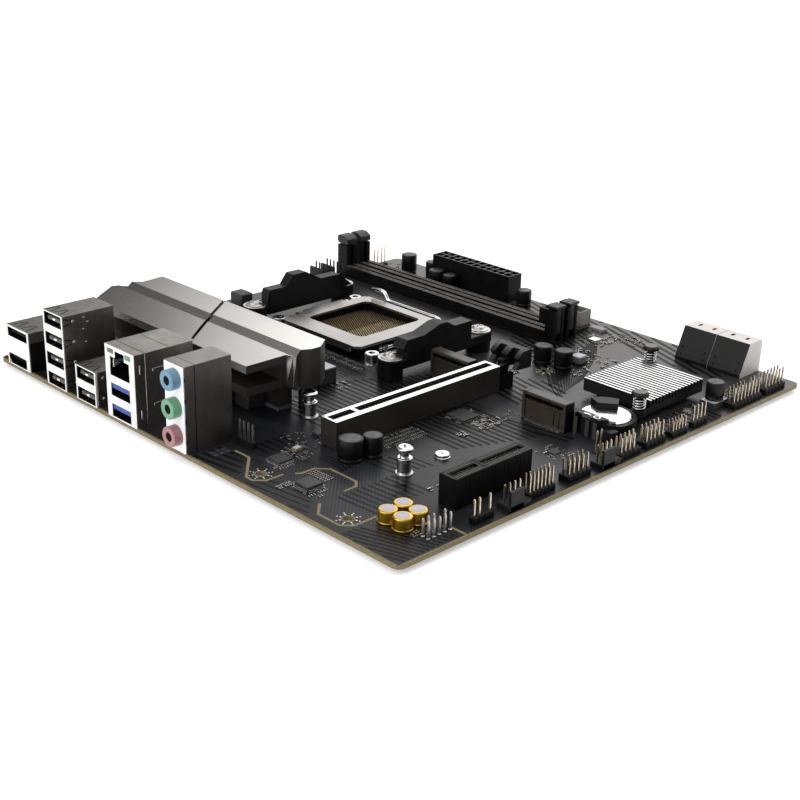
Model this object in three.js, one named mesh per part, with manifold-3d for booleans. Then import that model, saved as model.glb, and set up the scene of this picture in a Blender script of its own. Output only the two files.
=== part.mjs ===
// Micro-ATX motherboard: a populated printed circuit board with its processor
// socket, memory slots, expansion slots, rear ports, heatsinks and headers.
// Millimetres, +Z up.  Every size below is given in the board frame: X runs
// from the rear port edge to the right edge, Y from the header edge to the
// socket edge, and Z = 0 is the top face of the board.  One group then moves
// the whole assembly so that its origin is the middle of its footprint, at
// the lowest point of the solder joints.
import * as THREE from 'three';
import { mergeVertices } from 'three/addons/utils/BufferGeometryUtils.js';
import Module from 'manifold-3d';

const wasm = await Module();
wasm.setup();

// ---------------------------------------------------------------- dimensions
const BOARD_X = 236.2;            // rear edge to right edge
const BOARD_Y = 243.84;           // header edge to socket edge (9.6 in)
const BOARD_T = 1.6;              // laminate thickness
const UNDER = 2.0;                // solder joints and backplate below the laminate
const JACK_OUT = 4.0;             // audio jacks stand proud of the rear edge
const HOLE_R = 1.98;              // mounting hole radius
const PAD_R = 4.6, PAD_T = 0.15;  // pad round each hole, underneath
const HOLES = [[10.16, 80.01], [10.16, 34.29], [33.02, 237.49], [165.1, 237.49], [165.1, 80.01]];
const SOCKET = [136.2, 162.6];    // processor centre
const BRACKET_DX = 27;            // cooler bracket screws, half spacing in X
const BRACKET_DY = 45;            // and in Y
const USB_W = 12.6, USB_H = 5.15; // type A opening
const SLOT_H = 11.25;             // card slot height
const DIMM_PITCH = 9.0;
const DIMM_W = 6.8;
const DIMM_X = [194.9, 204.25];    // memory slot centre lines
const PIN_PITCH = 2.54;
const CELL = 4.2;                 // power connector pitch
const COIN_R = 10.0;
const PINS = [[197.0, 49.5], [150.3, 20.8]]; // chipset heatsink push pins

// ------------------------------------------------------------------- helpers
function solid(geometry) {
  let g = geometry.index ? geometry.clone() : geometry.clone();
  g.deleteAttribute('normal');
  if (g.attributes.uv) g.deleteAttribute('uv');
  g = mergeVertices(g, 1e-4);
  const p = g.attributes.position.array;
  const src = g.index.array;
  const tri = [];
  let vol = 0;
  for (let i = 0; i < src.length; i += 3) {
    const [a, b, c] = [src[i], src[i + 1], src[i + 2]];
    if (a === b || b === c || a === c) continue;
    tri.push(a, b, c);
    const [ax, ay, az, bx, by, bz, cx, cy, cz] =
      [p[3 * a], p[3 * a + 1], p[3 * a + 2], p[3 * b], p[3 * b + 1], p[3 * b + 2], p[3 * c], p[3 * c + 1], p[3 * c + 2]];
    vol += ax * (by * cz - bz * cy) - ay * (bx * cz - bz * cx) + az * (bx * cy - by * cx);
  }
  if (vol < 0) for (let i = 0; i < tri.length; i += 3) [tri[i + 1], tri[i + 2]] = [tri[i + 2], tri[i + 1]];
  return new wasm.Manifold(new wasm.Mesh({
    numProp: 3, vertProperties: Float32Array.from(p), triVerts: Uint32Array.from(tri),
  }));
}
const join = (a, ...rest) => rest.reduce((s, b) => s.add(b), a);
const cut = (a, ...rest) => rest.reduce((s, b) => s.subtract(b), a);

function box(x0, x1, y0, y1, z0, z1) {
  const g = new THREE.BoxGeometry(x1 - x0, y1 - y0, z1 - z0);
  const p = g.attributes.position;
  for (let i = 0; i < p.count; i++) {
    p.setXYZ(i, p.getX(i) > 0 ? x1 : x0, p.getY(i) > 0 ? y1 : y0, p.getZ(i) > 0 ? z1 : z0);
  }
  return solid(g);
}
function setEnds(g, axis, lo, hi) {          // exact end planes after a rotation
  const p = g.attributes.position;
  const mid = (lo + hi) / 2;
  for (let i = 0; i < p.count; i++) p.setComponent(i, axis, p.getComponent(i, axis) > mid ? hi : lo);
  return g;
}
function cylZ(x, y, r, z0, z1, n = 18) {
  const g = new THREE.CylinderGeometry(r, r, z1 - z0, n);
  g.rotateX(Math.PI / 2); g.translate(x, y, (z0 + z1) / 2);
  return solid(setEnds(g, 2, z0, z1));
}
function cylX(y, z, r, x0, x1, n = 14) {
  const g = new THREE.CylinderGeometry(r, r, x1 - x0, n);
  g.rotateZ(Math.PI / 2); g.translate((x0 + x1) / 2, y, z);
  return solid(setEnds(g, 0, x0, x1));
}
function cylY(x, z, r, y0, y1, n = 14) {
  const g = new THREE.CylinderGeometry(r, r, y1 - y0, n);
  g.translate(x, (y0 + y1) / 2, z);
  return solid(setEnds(g, 1, y0, y1));
}
function outline(points) {
  const s = new THREE.Shape();
  points.forEach(([a, b], i) => (i ? s.lineTo(a, b) : s.moveTo(a, b)));
  s.closePath();
  return s;
}
function prism(points, lo, hi, map) {
  const g = new THREE.ExtrudeGeometry(outline(points), { depth: 1, bevelEnabled: false, steps: 1 });
  const p = g.attributes.position;
  for (let i = 0; i < p.count; i++) {
    const q = map(p.getX(i), p.getY(i), p.getZ(i) > 0.5 ? hi : lo);
    p.setXYZ(i, q[0], q[1], q[2]);
  }
  return solid(g);
}
const prismX = (pts, x0, x1) => prism(pts, x0, x1, (a, b, c) => [c, a, b]); // points are (y, z)
const prismY = (pts, y0, y1) => prism(pts, y0, y1, (a, b, c) => [a, c, b]); // points are (x, z)
const prismZ = (pts, z0, z1) => prism(pts, z0, z1, (a, b, c) => [a, b, c]); // points are (x, y)
function lathe(profile, x, y, n = 16) {       // profile of (r, z), both ends on the axis
  const g = new THREE.LatheGeometry(profile.map(([r, z]) => new THREE.Vector2(r, z)), n);
  g.rotateX(Math.PI / 2); g.translate(x, y, 0);
  const p = g.attributes.position;
  const levels = profile.map((q) => q[1]);
  for (let i = 0; i < p.count; i++) {
    const z = p.getZ(i);
    p.setZ(i, levels.reduce((m, l) => (Math.abs(l - z) < Math.abs(m - z) ? l : m), levels[0]));
  }
  return solid(g);
}
function rod(points, r, n, steps) {           // a round wire along a smooth line
  const curve = new THREE.CatmullRomCurve3(points.map((q) => new THREE.Vector3(...q)), false, 'centripetal');
  const ring = [];
  for (let i = 0; i < n; i++) ring.push([r * Math.cos((2 * Math.PI * i) / n), r * Math.sin((2 * Math.PI * i) / n)]);
  return solid(new THREE.ExtrudeGeometry(outline(ring), { steps, extrudePath: curve, bevelEnabled: false }));
}
function roundRect(x0, x1, y0, y1, r, n = 4) {
  const pts = [];
  [[x1 - r, y1 - r, 0], [x0 + r, y1 - r, 1], [x0 + r, y0 + r, 2], [x1 - r, y0 + r, 3]].forEach(([cx, cy, q]) => {
    for (let i = 0; i <= n; i++) {
      const a = (Math.PI / 2) * (q + i / n);
      pts.push([cx + r * Math.cos(a), cy + r * Math.sin(a)]);
    }
  });
  return pts;
}

const board = new THREE.Group();
board.position.set(-(BOARD_X - JACK_OUT) / 2, -BOARD_Y / 2, BOARD_T + UNDER);
function put(name, body, color, roughness, metalness) {
  const m = body.getMesh();
  const g = new THREE.BufferGeometry();
  const n = m.vertProperties.length / m.numProp;
  const pos = new Float32Array(n * 3);
  for (let i = 0; i < n; i++) for (let k = 0; k < 3; k++) pos[3 * i + k] = m.vertProperties[m.numProp * i + k];
  g.setAttribute('position', new THREE.BufferAttribute(pos, 3));
  g.setIndex(new THREE.BufferAttribute(Uint32Array.from(m.triVerts), 1));
  g.computeVertexNormals();
  const mesh = new THREE.Mesh(g, new THREE.MeshStandardMaterial({ color, roughness, metalness, flatShading: true }));
  mesh.name = name;
  board.add(mesh);
}

const BLACK = 0x141414, STEEL = 0xd4d4d6, NICKEL = 0xc9c8c6, GOLD = 0xd2a62c;
const SCREWS = [[-1, -1], [1, -1], [-1, 1], [1, 1]].map(([i, j]) => [SOCKET[0] + i * BRACKET_DX, SOCKET[1] + j * BRACKET_DY]);

// ----------------------------------------------------------------- the board
{
  let pcb = prismZ(roundRect(0, BOARD_X, 0, BOARD_Y, 3.0), -BOARD_T, 0);
  for (const [x, y] of HOLES) pcb = pcb.subtract(cylZ(x, y, HOLE_R, -BOARD_T - 1, 1, 24));
  for (const [x, y] of SCREWS) pcb = pcb.subtract(cylZ(x, y, 2.2, -BOARD_T - 1, 1, 16));
  for (const [x, y] of PINS) pcb = pcb.subtract(cylZ(x, y, 1.9, -BOARD_T - 1, 1, 16));
  // soldered tails of the through-hole connectors, which are the board's feet
  const tails = [[6, 145], [6, 156], [22, 150], [8, 172], [8, 179], [9, 193], [9, 203], [9, 222], [9, 232],
    [17, 115.6], [50, 81], [90, 81], [125, 81], [60, 19], [227.5, 158], [227.5, 199], [229, 24], [229, 49],
    [25, 8], [76, 8], [82, 237.5], [196, 110], [196, 229], [205, 228], [205, 112]];
  for (const [x, y] of tails) pcb = pcb.add(cylZ(x, y, 1.1, -BOARD_T - UNDER, -BOARD_T + 0.2, 8));
  for (const [x, y] of HOLES) {                // raised pads that the case standoffs bear on
    pcb = pcb.add(cylZ(x, y, PAD_R, -BOARD_T - PAD_T, -BOARD_T + 0.2, 24).subtract(cylZ(x, y, HOLE_R, -BOARD_T - 1, 0.5, 24)));
  }
  put('pcb', pcb, 0x33353a, 0.5, 0.1);
}

// ------------------------------------------------------- processor socket set
{
  const [sx, sy] = SOCKET;
  const px = [sx - 33, sx + 33], py = [sy - 51, sy + 51];
  let plate = prismZ([[px[0] + 4, py[0]], [px[1] - 4, py[0]], [px[1], py[0] + 4], [px[1], py[1] - 4],
    [px[1] - 4, py[1]], [px[0] + 4, py[1]], [px[0], py[1] - 4], [px[0], py[0] + 4]], -BOARD_T - UNDER, -BOARD_T);
  for (const [x, y] of SCREWS) plate = plate.subtract(cylZ(x, y, 2.2, -5, 0, 16));
  put('socket_backplate', plate, 0x2a2b2d, 0.45, 0.8);

  let body = box(115.0, 159.4, 142.0, 186.0, 0, 6.2);
  body = cut(body, box(117.4, 157.0, 144.4, 183.6, 3.2, 8));
  put('socket_body', body, 0x26241f, 0.6, 0);

  // steel frame on the board around the socket, with screw bosses and ears
  let frame = prismZ([[111, 128], [162, 128], [165.4, 131], [165.4, 194], [162, 197], [111, 197], [107.6, 194], [107.6, 131]], 0, 2.0);
  frame = frame.subtract(box(114.7, 159.7, 141.7, 186.3, -1, 3));
  for (const [x, y] of [[112, 131.7], [158, 131.7], [112, 193.6], [159, 193.6]]) frame = frame.add(cylZ(x, y, 3.2, 1.0, 6.0, 14));
  for (const [x0, x1] of [[124, 126], [152, 154]]) {            // lever bearings
    frame = frame.add(box(x0, x1, 136.5, 140.5, 1.0, 5.6)).subtract(cylX(138.5, 3.6, 1.3, x0 - 1, x1 + 1, 14));
  }
  for (const [x0, x1] of [[120.5, 121.7], [150.3, 151.5]]) {    // load plate bearings
    frame = frame.add(box(x0, x1, 189, 192, 1.0, 7.1)).subtract(cylX(190.5, 5.6, 1.2, x0 - 1, x1 + 1, 14));
  }
  frame = frame.add(box(164.8, 165.4, 171, 175, 1.0, 7.0));      // lever catch
  put('socket_frame', frame, 0xb9b9ba, 0.35, 0.9);

  // load plate with its window, side flange and hinge barrel
  let load = prismZ([[111, 137], [158.4, 137], [161, 139.6], [161, 185.4], [158.4, 188], [111, 188], [108.4, 185.4], [108.4, 139.6]], 6.8, 8.0);
  load = load.subtract(prismZ(roundRect(118.8, 155.8, 146, 182, 3, 3), 6, 9));
  load = join(load, box(108.4, 109.4, 142, 183, 4.8, 7.2), box(124, 148, 187, 190.8, 6.4, 8.0),
    cylX(190.5, 5.6, 1.5, 122, 150, 14), cylX(190.5, 5.6, 0.95, 120.3, 151.7, 12));
  put('load_plate', load, STEEL, 0.25, 1.0);

  put('socket_lever', rod([[122.5, 138.5, 3.6], [140, 138.5, 3.6], [161.5, 138.5, 3.6], [163.2, 138.6, 3.9], [163.5, 140.2, 5.4],
    [163.5, 142.4, 7.3], [163.5, 150, 7.6], [163.5, 170, 7.7], [163.5, 175.2, 7.8], [163.5, 176.6, 8.8], [163.5, 177.6, 10.9],
    [163.5, 179.2, 11.5], [163.5, 186.5, 11.0]], 0.95, 8, 44), STEEL, 0.25, 1.0);

  // cooler brackets: moulded bars with round bosses around the screws
  const yA = SOCKET[1] - BRACKET_DY, yB = SOCKET[1] + BRACKET_DY;
  const bossed = (bar, y) => {
    for (const sgn of [-1, 1]) bar = bar.add(cylZ(sx + sgn * BRACKET_DX, y, 5.4, 0, 9.0, 18));
    for (const sgn of [-1, 1]) {
      bar = cut(bar, cylZ(sx + sgn * BRACKET_DX, y, 2.2, -1, 12, 16), cylZ(sx + sgn * BRACKET_DX, y, 4.7, 9.0, 30, 18));
    }
    return bar;
  };
  put('cooler_bracket_near', bossed(prismY([[110.5, 5], [162, 5], [162, 12], [159, 14], [155, 14.4], [152.5, 17.1], [142, 17.1], [140.3, 17.7],
    [134, 20.3], [130.4, 20.5], [123, 17], [113.6, 17], [111.5, 14.5], [110.5, 9]], yA - 5.6, yA + 5.6), yA), BLACK, 0.6, 0);
  put('cooler_bracket_far', bossed(prismY([[110.3, 5], [162.4, 5], [164, 9.5], [158.9, 14.5], [156.4, 15.6], [143.4, 16.1], [139.1, 19.2],
    [132.8, 22.4], [125.2, 22.4], [121.7, 18.4], [110.3, 18.4]], yB - 5.0, yB + 5.6), yB), BLACK, 0.6, 0);
  SCREWS.forEach(([x, y], i) => put('bracket_screw_' + (i + 1), lathe([[0, -3.2], [1.9, -3.2], [1.9, 9.0], [4.2, 9.0], [4.2, 9.7],
    [3.1, 9.9], [2.4, 10.8], [1.2, 11.2], [0, 11.2]], x, y, 16), STEEL, 0.3, 1.0));
}

// ------------------------------------------------------------- VRM heatsink
{
  let hs = prismY([[33.2, 11.7], [50, 13.1], [50.4, 12.2], [68, 12.2], [68, 28], [53.4, 28], [50, 26], [33.2, 24],
    [33.2, 20.8], [47, 22.4], [47, 16.1], [33.2, 14.9]], 100, 235);
  hs = hs.intersect(prismZ([[33.2, 116.9], [49.3, 112.8], [50.3, 108], [53.5, 109.1], [57.1, 107.1], [61.6, 107.1], [68, 111.8],
    [68, 220.1], [57.2, 218.9], [53.4, 222], [50.9, 221.5], [49.6, 226.8], [47, 228.5], [36.5, 222.8], [33.2, 221]], 0, 40));
  hs = hs.subtract(prismZ([[35.6, 153.1], [49.5, 162.6], [49.5, 164.4], [35.6, 154.9]], 22.6, 40));
  hs = hs.subtract(prismZ([[49.4, 162.6], [52.4, 162.9], [52.4, 164.7], [49.4, 164.4]], 23.6, 40));
  hs = hs.subtract(prismZ([[52.3, 162.9], [69, 175.3], [69, 177.1], [52.3, 164.7]], 25.6, 40));
  hs = join(hs, box(51, 58, 120, 210, 1.5, 13), cylZ(63.5, 118, 3, 0, 13, 14), cylZ(63.5, 212, 3, 0, 13, 14));
  put('vrm_heatsink', hs, 0xb0b0b0, 0.35, 0.9);
  put('vrm_thermal_pad', box(51, 58, 120, 210, 0, 1.5), 0x7d8794, 0.9, 0);
}

// --------------------------------------------------------------- rear ports
function usbHole(y0, z0, tongueTop) {        // opening with its contact tongue left in
  let hole = box(-1, 9.5, y0, y0 + USB_W, z0, z0 + USB_H);
  const t0 = tongueTop ? z0 + USB_H - 2.6 : z0 + USB_H - 2.5;
  return hole.subtract(box(1.0, 10.5, y0 + 0.9, y0 + USB_W - 0.9, t0, t0 + 1.7));
}
{
  const lan = [26.3, 140.7, 160.0, 29.4];
  let h = box(0, lan[0], lan[1], lan[2], 0, lan[3]);
  h = cut(h, prismX([[144.1, 17.5], [157, 17.5], [157, 25], [153.4, 25], [153.4, 27.8], [147.2, 27.8], [147.2, 25], [144.1, 25]], -1, 16),
    box(-1, 9.5, 144.4, 157.0, 9.2, 14.4), box(-1, 9.5, 144.4, 157.0, 0.6, 5.8));
  put('network_usb_housing', h, NICKEL, 0.3, 0.9);
  put('usb_tongue_upper', box(0.7, 9.5, 145.3, 156.1, 12.2, 14.0), 0x2b5fd9, 0.4, 0);
  put('usb_tongue_lower', box(0.7, 9.5, 145.3, 156.1, 3.6, 5.4), 0x2b5fd9, 0.4, 0);

  let audio = box(0, 21, 109.7, 121.5, 0, 33.8);
  for (const z of [28.3, 17.3, 6.5]) audio = audio.subtract(cylX(115.0, z, 4.3, -1, 9, 20));
  put('audio_jack_housing', audio, 0x2e2d2c, 0.5, 0);
  [['audio_jack_blue', 28.3, 0x5f9fc4], ['audio_jack_green', 17.3, 0x6cc08a], ['audio_jack_pink', 6.5, 0xc98890]].forEach(([n, z, c]) => {
    put(n, cylX(115.0, z, 3.95, -JACK_OUT, 9, 20).subtract(cylX(115.0, z, 1.8, -JACK_OUT - 1, 8, 12)), c, 0.45, 0);
  });

  let u4 = box(0, 23.5, 190.2, 204.6, 0, 31.6);
  for (const z of [0.4, 9.0, 17.5, 26.0]) u4 = u4.subtract(usbHole(191.0, z, true));
  put('usb_stack_4', u4, NICKEL, 0.3, 0.9);
  let u2 = box(0, 14.5, 168.2, 182.4, 0, 14.6);
  for (const z of [0.4, 9.0]) u2 = u2.subtract(usbHole(169.0, z, true));
  put('usb_stack_2', u2, NICKEL, 0.3, 0.9);

  let vid = box(0, 22, 218.2, 235.8, 0, 17.2);
  vid = vid.subtract(prismX([[219.3, 14.0], [220.6, 12.4], [234.6, 12.4], [234.6, 16.4], [219.3, 16.4]], -1, 11)
    .subtract(box(1, 12, 221.5, 233.2, 14.3, 15.3)));
  vid = vid.subtract(prismX([[222.2, 0.4], [233.7, 0.4], [235.1, 2.2], [235.1, 4.8], [220.8, 4.8], [220.8, 2.2]], -1, 11)
    .subtract(box(1, 12, 222.8, 233.1, 2.2, 3.2)));
  put('video_port_stack', vid, NICKEL, 0.3, 0.9);
}

// -------------------------------------------------------------- memory slots
const T_NEAR = [98.0, 103.3], NEAR_TOP = 107.0, T_FAR = [235.5, 242.4];
const HINGE_N = [101.4, 4.2], HINGE_F = [239.6, 4.2];
DIMM_X.forEach((cx, i) => {
  const x0 = cx - DIMM_W / 2, x1 = cx + DIMM_W / 2;
  let s = join(box(x0, x1, T_NEAR[0], T_FAR[1], 0, 5.8), box(x0, x1, T_NEAR[0], T_NEAR[1], 0, 16.2),
    box(x0, x1, T_NEAR[0], NEAR_TOP, 9.0, 16.2), box(x0, x1, T_FAR[0], T_FAR[1], 0, 16.2));
  s = s.subtract(box(cx - 1.0, cx + 1.0, 101.5, 238, 1.6, 20));         // card channel
  s = s.subtract(box(cx - 1.75, cx + 1.75, 97, 105.4, 1.0, 20));        // near latch slot
  s = s.subtract(box(cx - 1.75, cx + 1.75, 236.6, 244, 1.0, 20));       // far latch slot
  s = s.add(box(cx - 1.2, cx + 1.2, 166, 167.6, 1.0, 5.8));             // key
  s = s.subtract(cylX(HINGE_N[0], HINGE_N[1], 1.2, x0 - 1, x1 + 1, 12));
  s = s.subtract(cylX(HINGE_F[0], HINGE_F[1], 1.2, x0 - 1, x1 + 1, 12));
  put('dimm_slot_' + (i + 1), s, BLACK, 0.5, 0);
  let n = prismX([[100.2, 2.2], [102.8, 2.2], [103.4, 4.0], [102.6, 15.4], [103.6, 17.2], [103.6, 18.2], [98.2, 18.2], [98.2, 5.0]], cx - 1.5, cx + 1.5);
  n = join(n, box(cx - 3.3, cx + 3.3, 97.0, 103.0, 16.9, 18.2), cylX(HINGE_N[0], HINGE_N[1], 0.9, cx - 2.9, cx + 2.9, 10));
  put('dimm_latch_near_' + (i + 1), n, 0x1b1b1c, 0.45, 0);
  let f = prismX([[238.2, 2.2], [240.6, 2.2], [242.2, 5.0], [242.2, 17], [237.2, 17], [238.2, 15.0], [237.6, 4.0]], cx - 1.5, cx + 1.5);
  f = join(f, prismX([[235.2, 16.9], [241.6, 16.9], [242.8, 18.0], [242.8, 20.3], [241.8, 21.1], [238.0, 21.1], [235.2, 19.4]], cx - 3.3, cx + 3.3),
    cylX(HINGE_F[0], HINGE_F[1], 0.9, cx - 2.9, cx + 2.9, 10));
  put('dimm_latch_far_' + (i + 1), f, 0x1b1b1c, 0.45, 0);
});

// ----------------------------------------------------------- expansion slots
{
  let b = join(box(43.3, 131.5, 77.35, 84.93, 0, 10.9), box(131, 136.6, 77.35, 84.93, 0, 11.0), box(131, 141.0, 77.35, 84.93, 0, 6.4));
  b = cut(b, box(44.6, 129.6, 80.6, 82.5, 3.0, 13), box(133.6, 142, 79.4, 82.9, 1.0, 13), cylY(137.2, 3.8, 1.2, 77, 86, 12));
  b = b.add(box(55.5, 57.1, 80.4, 82.7, 2.5, 10.6));
  put('x16_slot_body', b, BLACK, 0.5, 0);
  let sh = box(42.9, 131.9, 76.85, 85.43, 0.4, 11.3);
  sh = cut(sh, box(43.3, 131.5, 77.35, 84.93, 0, 10.9), box(44.0, 55.4, 79.7, 83.4, 10, 12), box(57.2, 130.4, 79.7, 83.4, 10, 12), box(131, 132, 77.35, 84.93, 0, 11.0));
  put('x16_slot_shell', sh, STEEL, 0.22, 1.0);
  let l = prismY([[136.0, 1.8], [138.4, 1.8], [139.6, 4.0], [140.6, 8.0], [140.6, 12], [136.2, 12], [136.8, 9], [135.6, 4.0]], 79.65, 82.65);
  l = join(l, prismY([[137.8, 8.8], [147.0, 8.2], [147.2, 14.6], [146.0, 16.3], [141.8, 16.0], [138.6, 13.8], [139.8, 11.6]], 73.4, 88.8),
    cylY(137.2, 3.8, 0.9, 78.0, 84.3, 10));
  l = cut(l, box(136, 143.0, 82.8, 86.2, 7, 17), box(136, 143.0, 75.8, 79.5, 7, 17));   // finger scoops between three ribs
  put('x16_slot_latch', l, 0x1b1b1c, 0.45, 0);
  let k = box(40.9, 79.5, 14.8, 23.0, 0, SLOT_H);
  k = cut(k, box(42.6, 77.8, 17.9, 19.9, 3.0, 13));
  k = k.add(box(55.1, 56.8, 17.7, 20.1, 2.5, SLOT_H));
  put('x4_slot', k, BLACK, 0.5, 0);
}

// ----------------------------------------------------- M.2 sockets and posts
[['m2_socket_1', 118.5, 31.8], ['m2_socket_2', 124.0, 87.2]].forEach(([name, x, y]) => {
  let m = box(x, x + 5.5, y, y + 21.5, 0, 11.5);
  m = cut(m, box(x - 1, x + 4.2, y + 1.4, y + 20.1, 8.6, 10.4), box(x - 1, x + 0.5, y + 1.4, y + 20.1, 1.2, 8.0));
  put(name, m, 0x2a261f, 0.5, 0);
});
[[48.6, 47.2], [57.2, 108.2]].forEach(([x, y], i) => {
  put('m2_standoff_' + (i + 1), lathe([[0, 0], [2.6, 0], [2.6, 4.8], [3.0, 5.0], [3.0, 6.2], [2.2, 6.6], [1.25, 6.6], [1.25, 2.5], [0, 2.5]], x, y, 12), STEEL, 0.3, 1);
  put('m2_screw_' + (i + 1), lathe([[0, 3.2], [0.9, 3.2], [0.9, 6.6], [1.7, 6.6], [1.7, 9.0], [3.1, 9.0], [3.1, 9.9], [2.2, 10.5], [0, 10.5]], x, y, 12), STEEL, 0.25, 1);
});

// ------------------------------------------------------------ chipset cooler
{
  put('chipset', box(160, 186, 22.5, 48.5, 0, 2.5), 0x3c3c3c, 0.5, 0.3);
  let hs = box(155, 190.9, 18.8, 51.8, 2.5, 5.2);
  const comb = [];
  for (let i = 0; i < 17; i++) comb.push([155 + i * 2.175, 156.1 + i * 2.175]);
  for (const [a, b] of comb) hs = hs.add(box(a, b, 18.8, 51.8, 5.0, 8.0));
  const [[ax, ay], [bx, by]] = PINS;
  hs = join(hs, box(190, ax, ay - 3, ay + 2.3, 2.5, 4.8), cylZ(ax, ay, 3.3, 2.5, 4.8, 14), box(bx, 156, by - 2, by + 3, 2.5, 4.8), cylZ(bx, by, 2.9, 2.5, 4.8, 14));
  hs = cut(hs, cylZ(ax, ay, 1.9, 2, 6, 14), cylZ(bx, by, 1.9, 2, 6, 14));
  put('chipset_heatsink', hs, 0x8c8c8c, 0.4, 0.9);
  PINS.forEach(([x, y], i) => {
    put('push_pin_' + (i + 1), lathe([[0, -2.5], [1.2, -2.5], [2.2, -1.9], [1.4, -1.8], [1.4, 10.8], [3.5, 10.8], [3.5, 12.0], [2.6, 12.6], [0, 12.6]], x, y, 14), 0x1b1b1c, 0.45, 0);
    const pts = [];
    for (let s = 0; s <= 60; s++) {
      const a = (2 * Math.PI * 4.5 * s) / 60;
      pts.push([x + 2.35 * Math.cos(a), y + 2.35 * Math.sin(a), 5.3 + (5.0 * s) / 60]);
    }
    put('pin_spring_' + (i + 1), rod(pts, 0.34, 5, 66), NICKEL, 0.25, 1);
  });
}

// ------------------------------------------------------------------- battery
{
  const [x, y] = [135.5, 25.5];
  let h = cylZ(x, y, 12.0, 0, 5.2, 28);
  // fixed clip block on the rear side and the latch block on the far side, both reaching over the cell
  const left = prismZ([[122, 18], [127.6, 18], [127.6, 33.5], [122, 33.5]], 0, 8.0);
  const slope = prismZ([[123.5, 22], [127.6, 22.5], [130.2, 16.8], [127.5, 14.5], [124.5, 16.0]], 0, 6.6);
  const latch = prismZ([[137.8, 31.4], [142.5, 25.1], [149.5, 29.6], [141.2, 38.5]], 4.0, 7.9);
  h = join(h, left.add(slope).add(latch).intersect(cylZ(x, y, 12.0, -1, 9, 28)));
  h = h.subtract(cylZ(x, y, COIN_R + 0.4, 2.4, 5.75, 28));
  h = h.subtract(cylZ(x, y, COIN_R + 0.4, 5.0, 9.0, 28).subtract(join(left, slope, latch)));
  put('battery_holder', h, BLACK, 0.5, 0);
  put('coin_cell', cylZ(x, y, COIN_R, 2.4, 5.6, 28), 0xd8d8da, 0.3, 0.9);
}

// --------------------------------------------------------- power, SATA, pins
{
  const cells = (x0, y0, nx, ny, height) => {
    let b = box(x0, x0 + nx * CELL + 1.2, y0, y0 + ny * CELL + 1.2, 0, height);
    for (let i = 0; i < nx; i++) for (let j = 0; j < ny; j++) {
      const cx = x0 + 0.6 + CELL * (i + 0.5), cy = y0 + 0.6 + CELL * (j + 0.5);
      b = b.subtract(box(cx - 1.75, cx + 1.75, cy - 1.75, cy + 1.75, 2.5, height + 1));
    }
    return b;
  };
  put('atx_power_24', cells(222.7, 152.8, 2, 12, 13.2).add(box(232.2, 233.8, 174.5, 182.5, 7.5, 11.5)), BLACK, 0.5, 0);
  put('cpu_power_8', cells(73.5, 232.6, 4, 2, 13.2).add(box(78, 86, 242.0, 243.4, 7.5, 11.5)), BLACK, 0.5, 0);
  [['sata_ports_1', 20.0], ['sata_ports_2', 36.6]].forEach(([name, y]) => {
    let s = prismY([[221.0, 0], [236.2, 0], [236.2, 14.2], [226.5, 14.2], [221.0, 1.4]], y, y + 16.3);
    for (const z of [1.6, 8.2]) {
      s = s.subtract(box(230.0, 237, y + 0.9, y + 15.4, z, z + 4.6).subtract(join(box(229, 235.6, y + 2.4, y + 13.6, z + 2.9, z + 4.0), box(229, 235.6, y + 12.5, y + 13.6, z + 1.2, z + 3.1))));
    }
    put(name, s, 0x6c6a6a, 0.5, 0);
  });
  const header = (x0, y0, nx, ny, top, base = 2.5, p = PIN_PITCH, w = 0.32, skip = '') => {
    let b = box(x0 - p / 2, x0 + p * (nx - 1) + p / 2, y0 - p / 2, y0 + p * (ny - 1) + p / 2, 0, base);
    for (let i = 0; i < nx; i++) for (let j = 0; j < ny; j++) {
      if (skip === i + ',' + j) continue;
      const cx = x0 + p * i, cy = y0 + p * j;
      b = b.add(box(cx - w, cx + w, cy - w, cy + w, base - 0.3, top));
    }
    return b;
  };
  put('audio_header', header(20.0, 6.95, 5, 2, 6.4, 0.5, PIN_PITCH, 0.32, '3,1'), 0x8d8577, 0.5, 0.4);
  put('pin_header', header(66.0, 4.0, 7, 2, 9.2, 2.3, 2.0, 0.25), 0x8d8577, 0.5, 0.4);
  put('fan_header', header(54.7, 5.5, 4, 1, 8.6, 2.2).add(box(53.4, 60.0, 1.3, 2.4, 0, 7.6)).add(box(53.0, 64.0, 1.3, 7.4, 0, 2.2)), 0x3a3835, 0.5, 0.2);
  [[18.8, 24.5], [25.8, 24.5], [25.8, 17.5], [18.8, 17.5]].forEach(([x, y], i) => put('audio_capacitor_' + (i + 1),
    lathe([[0, 0], [3.45, 0], [3.45, 0.4], [3.3, 0.7], [3.45, 1.1], [3.45, 4.5], [3.1, 4.8], [0, 4.8]], x, y, 20), GOLD, 0.3, 0.8));
}

const motherboard = new THREE.Group();
motherboard.add(board);
export default motherboard;
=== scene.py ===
# Micro-ATX motherboard: looks.  Metres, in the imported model's frame.
# Sizes below are written in the board's own millimetres (X from the rear port
# edge, Y from the header edge, Z = 0 on the top face) and P() moves them.
import bpy, math, random
from mathutils import Vector, Matrix


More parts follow.
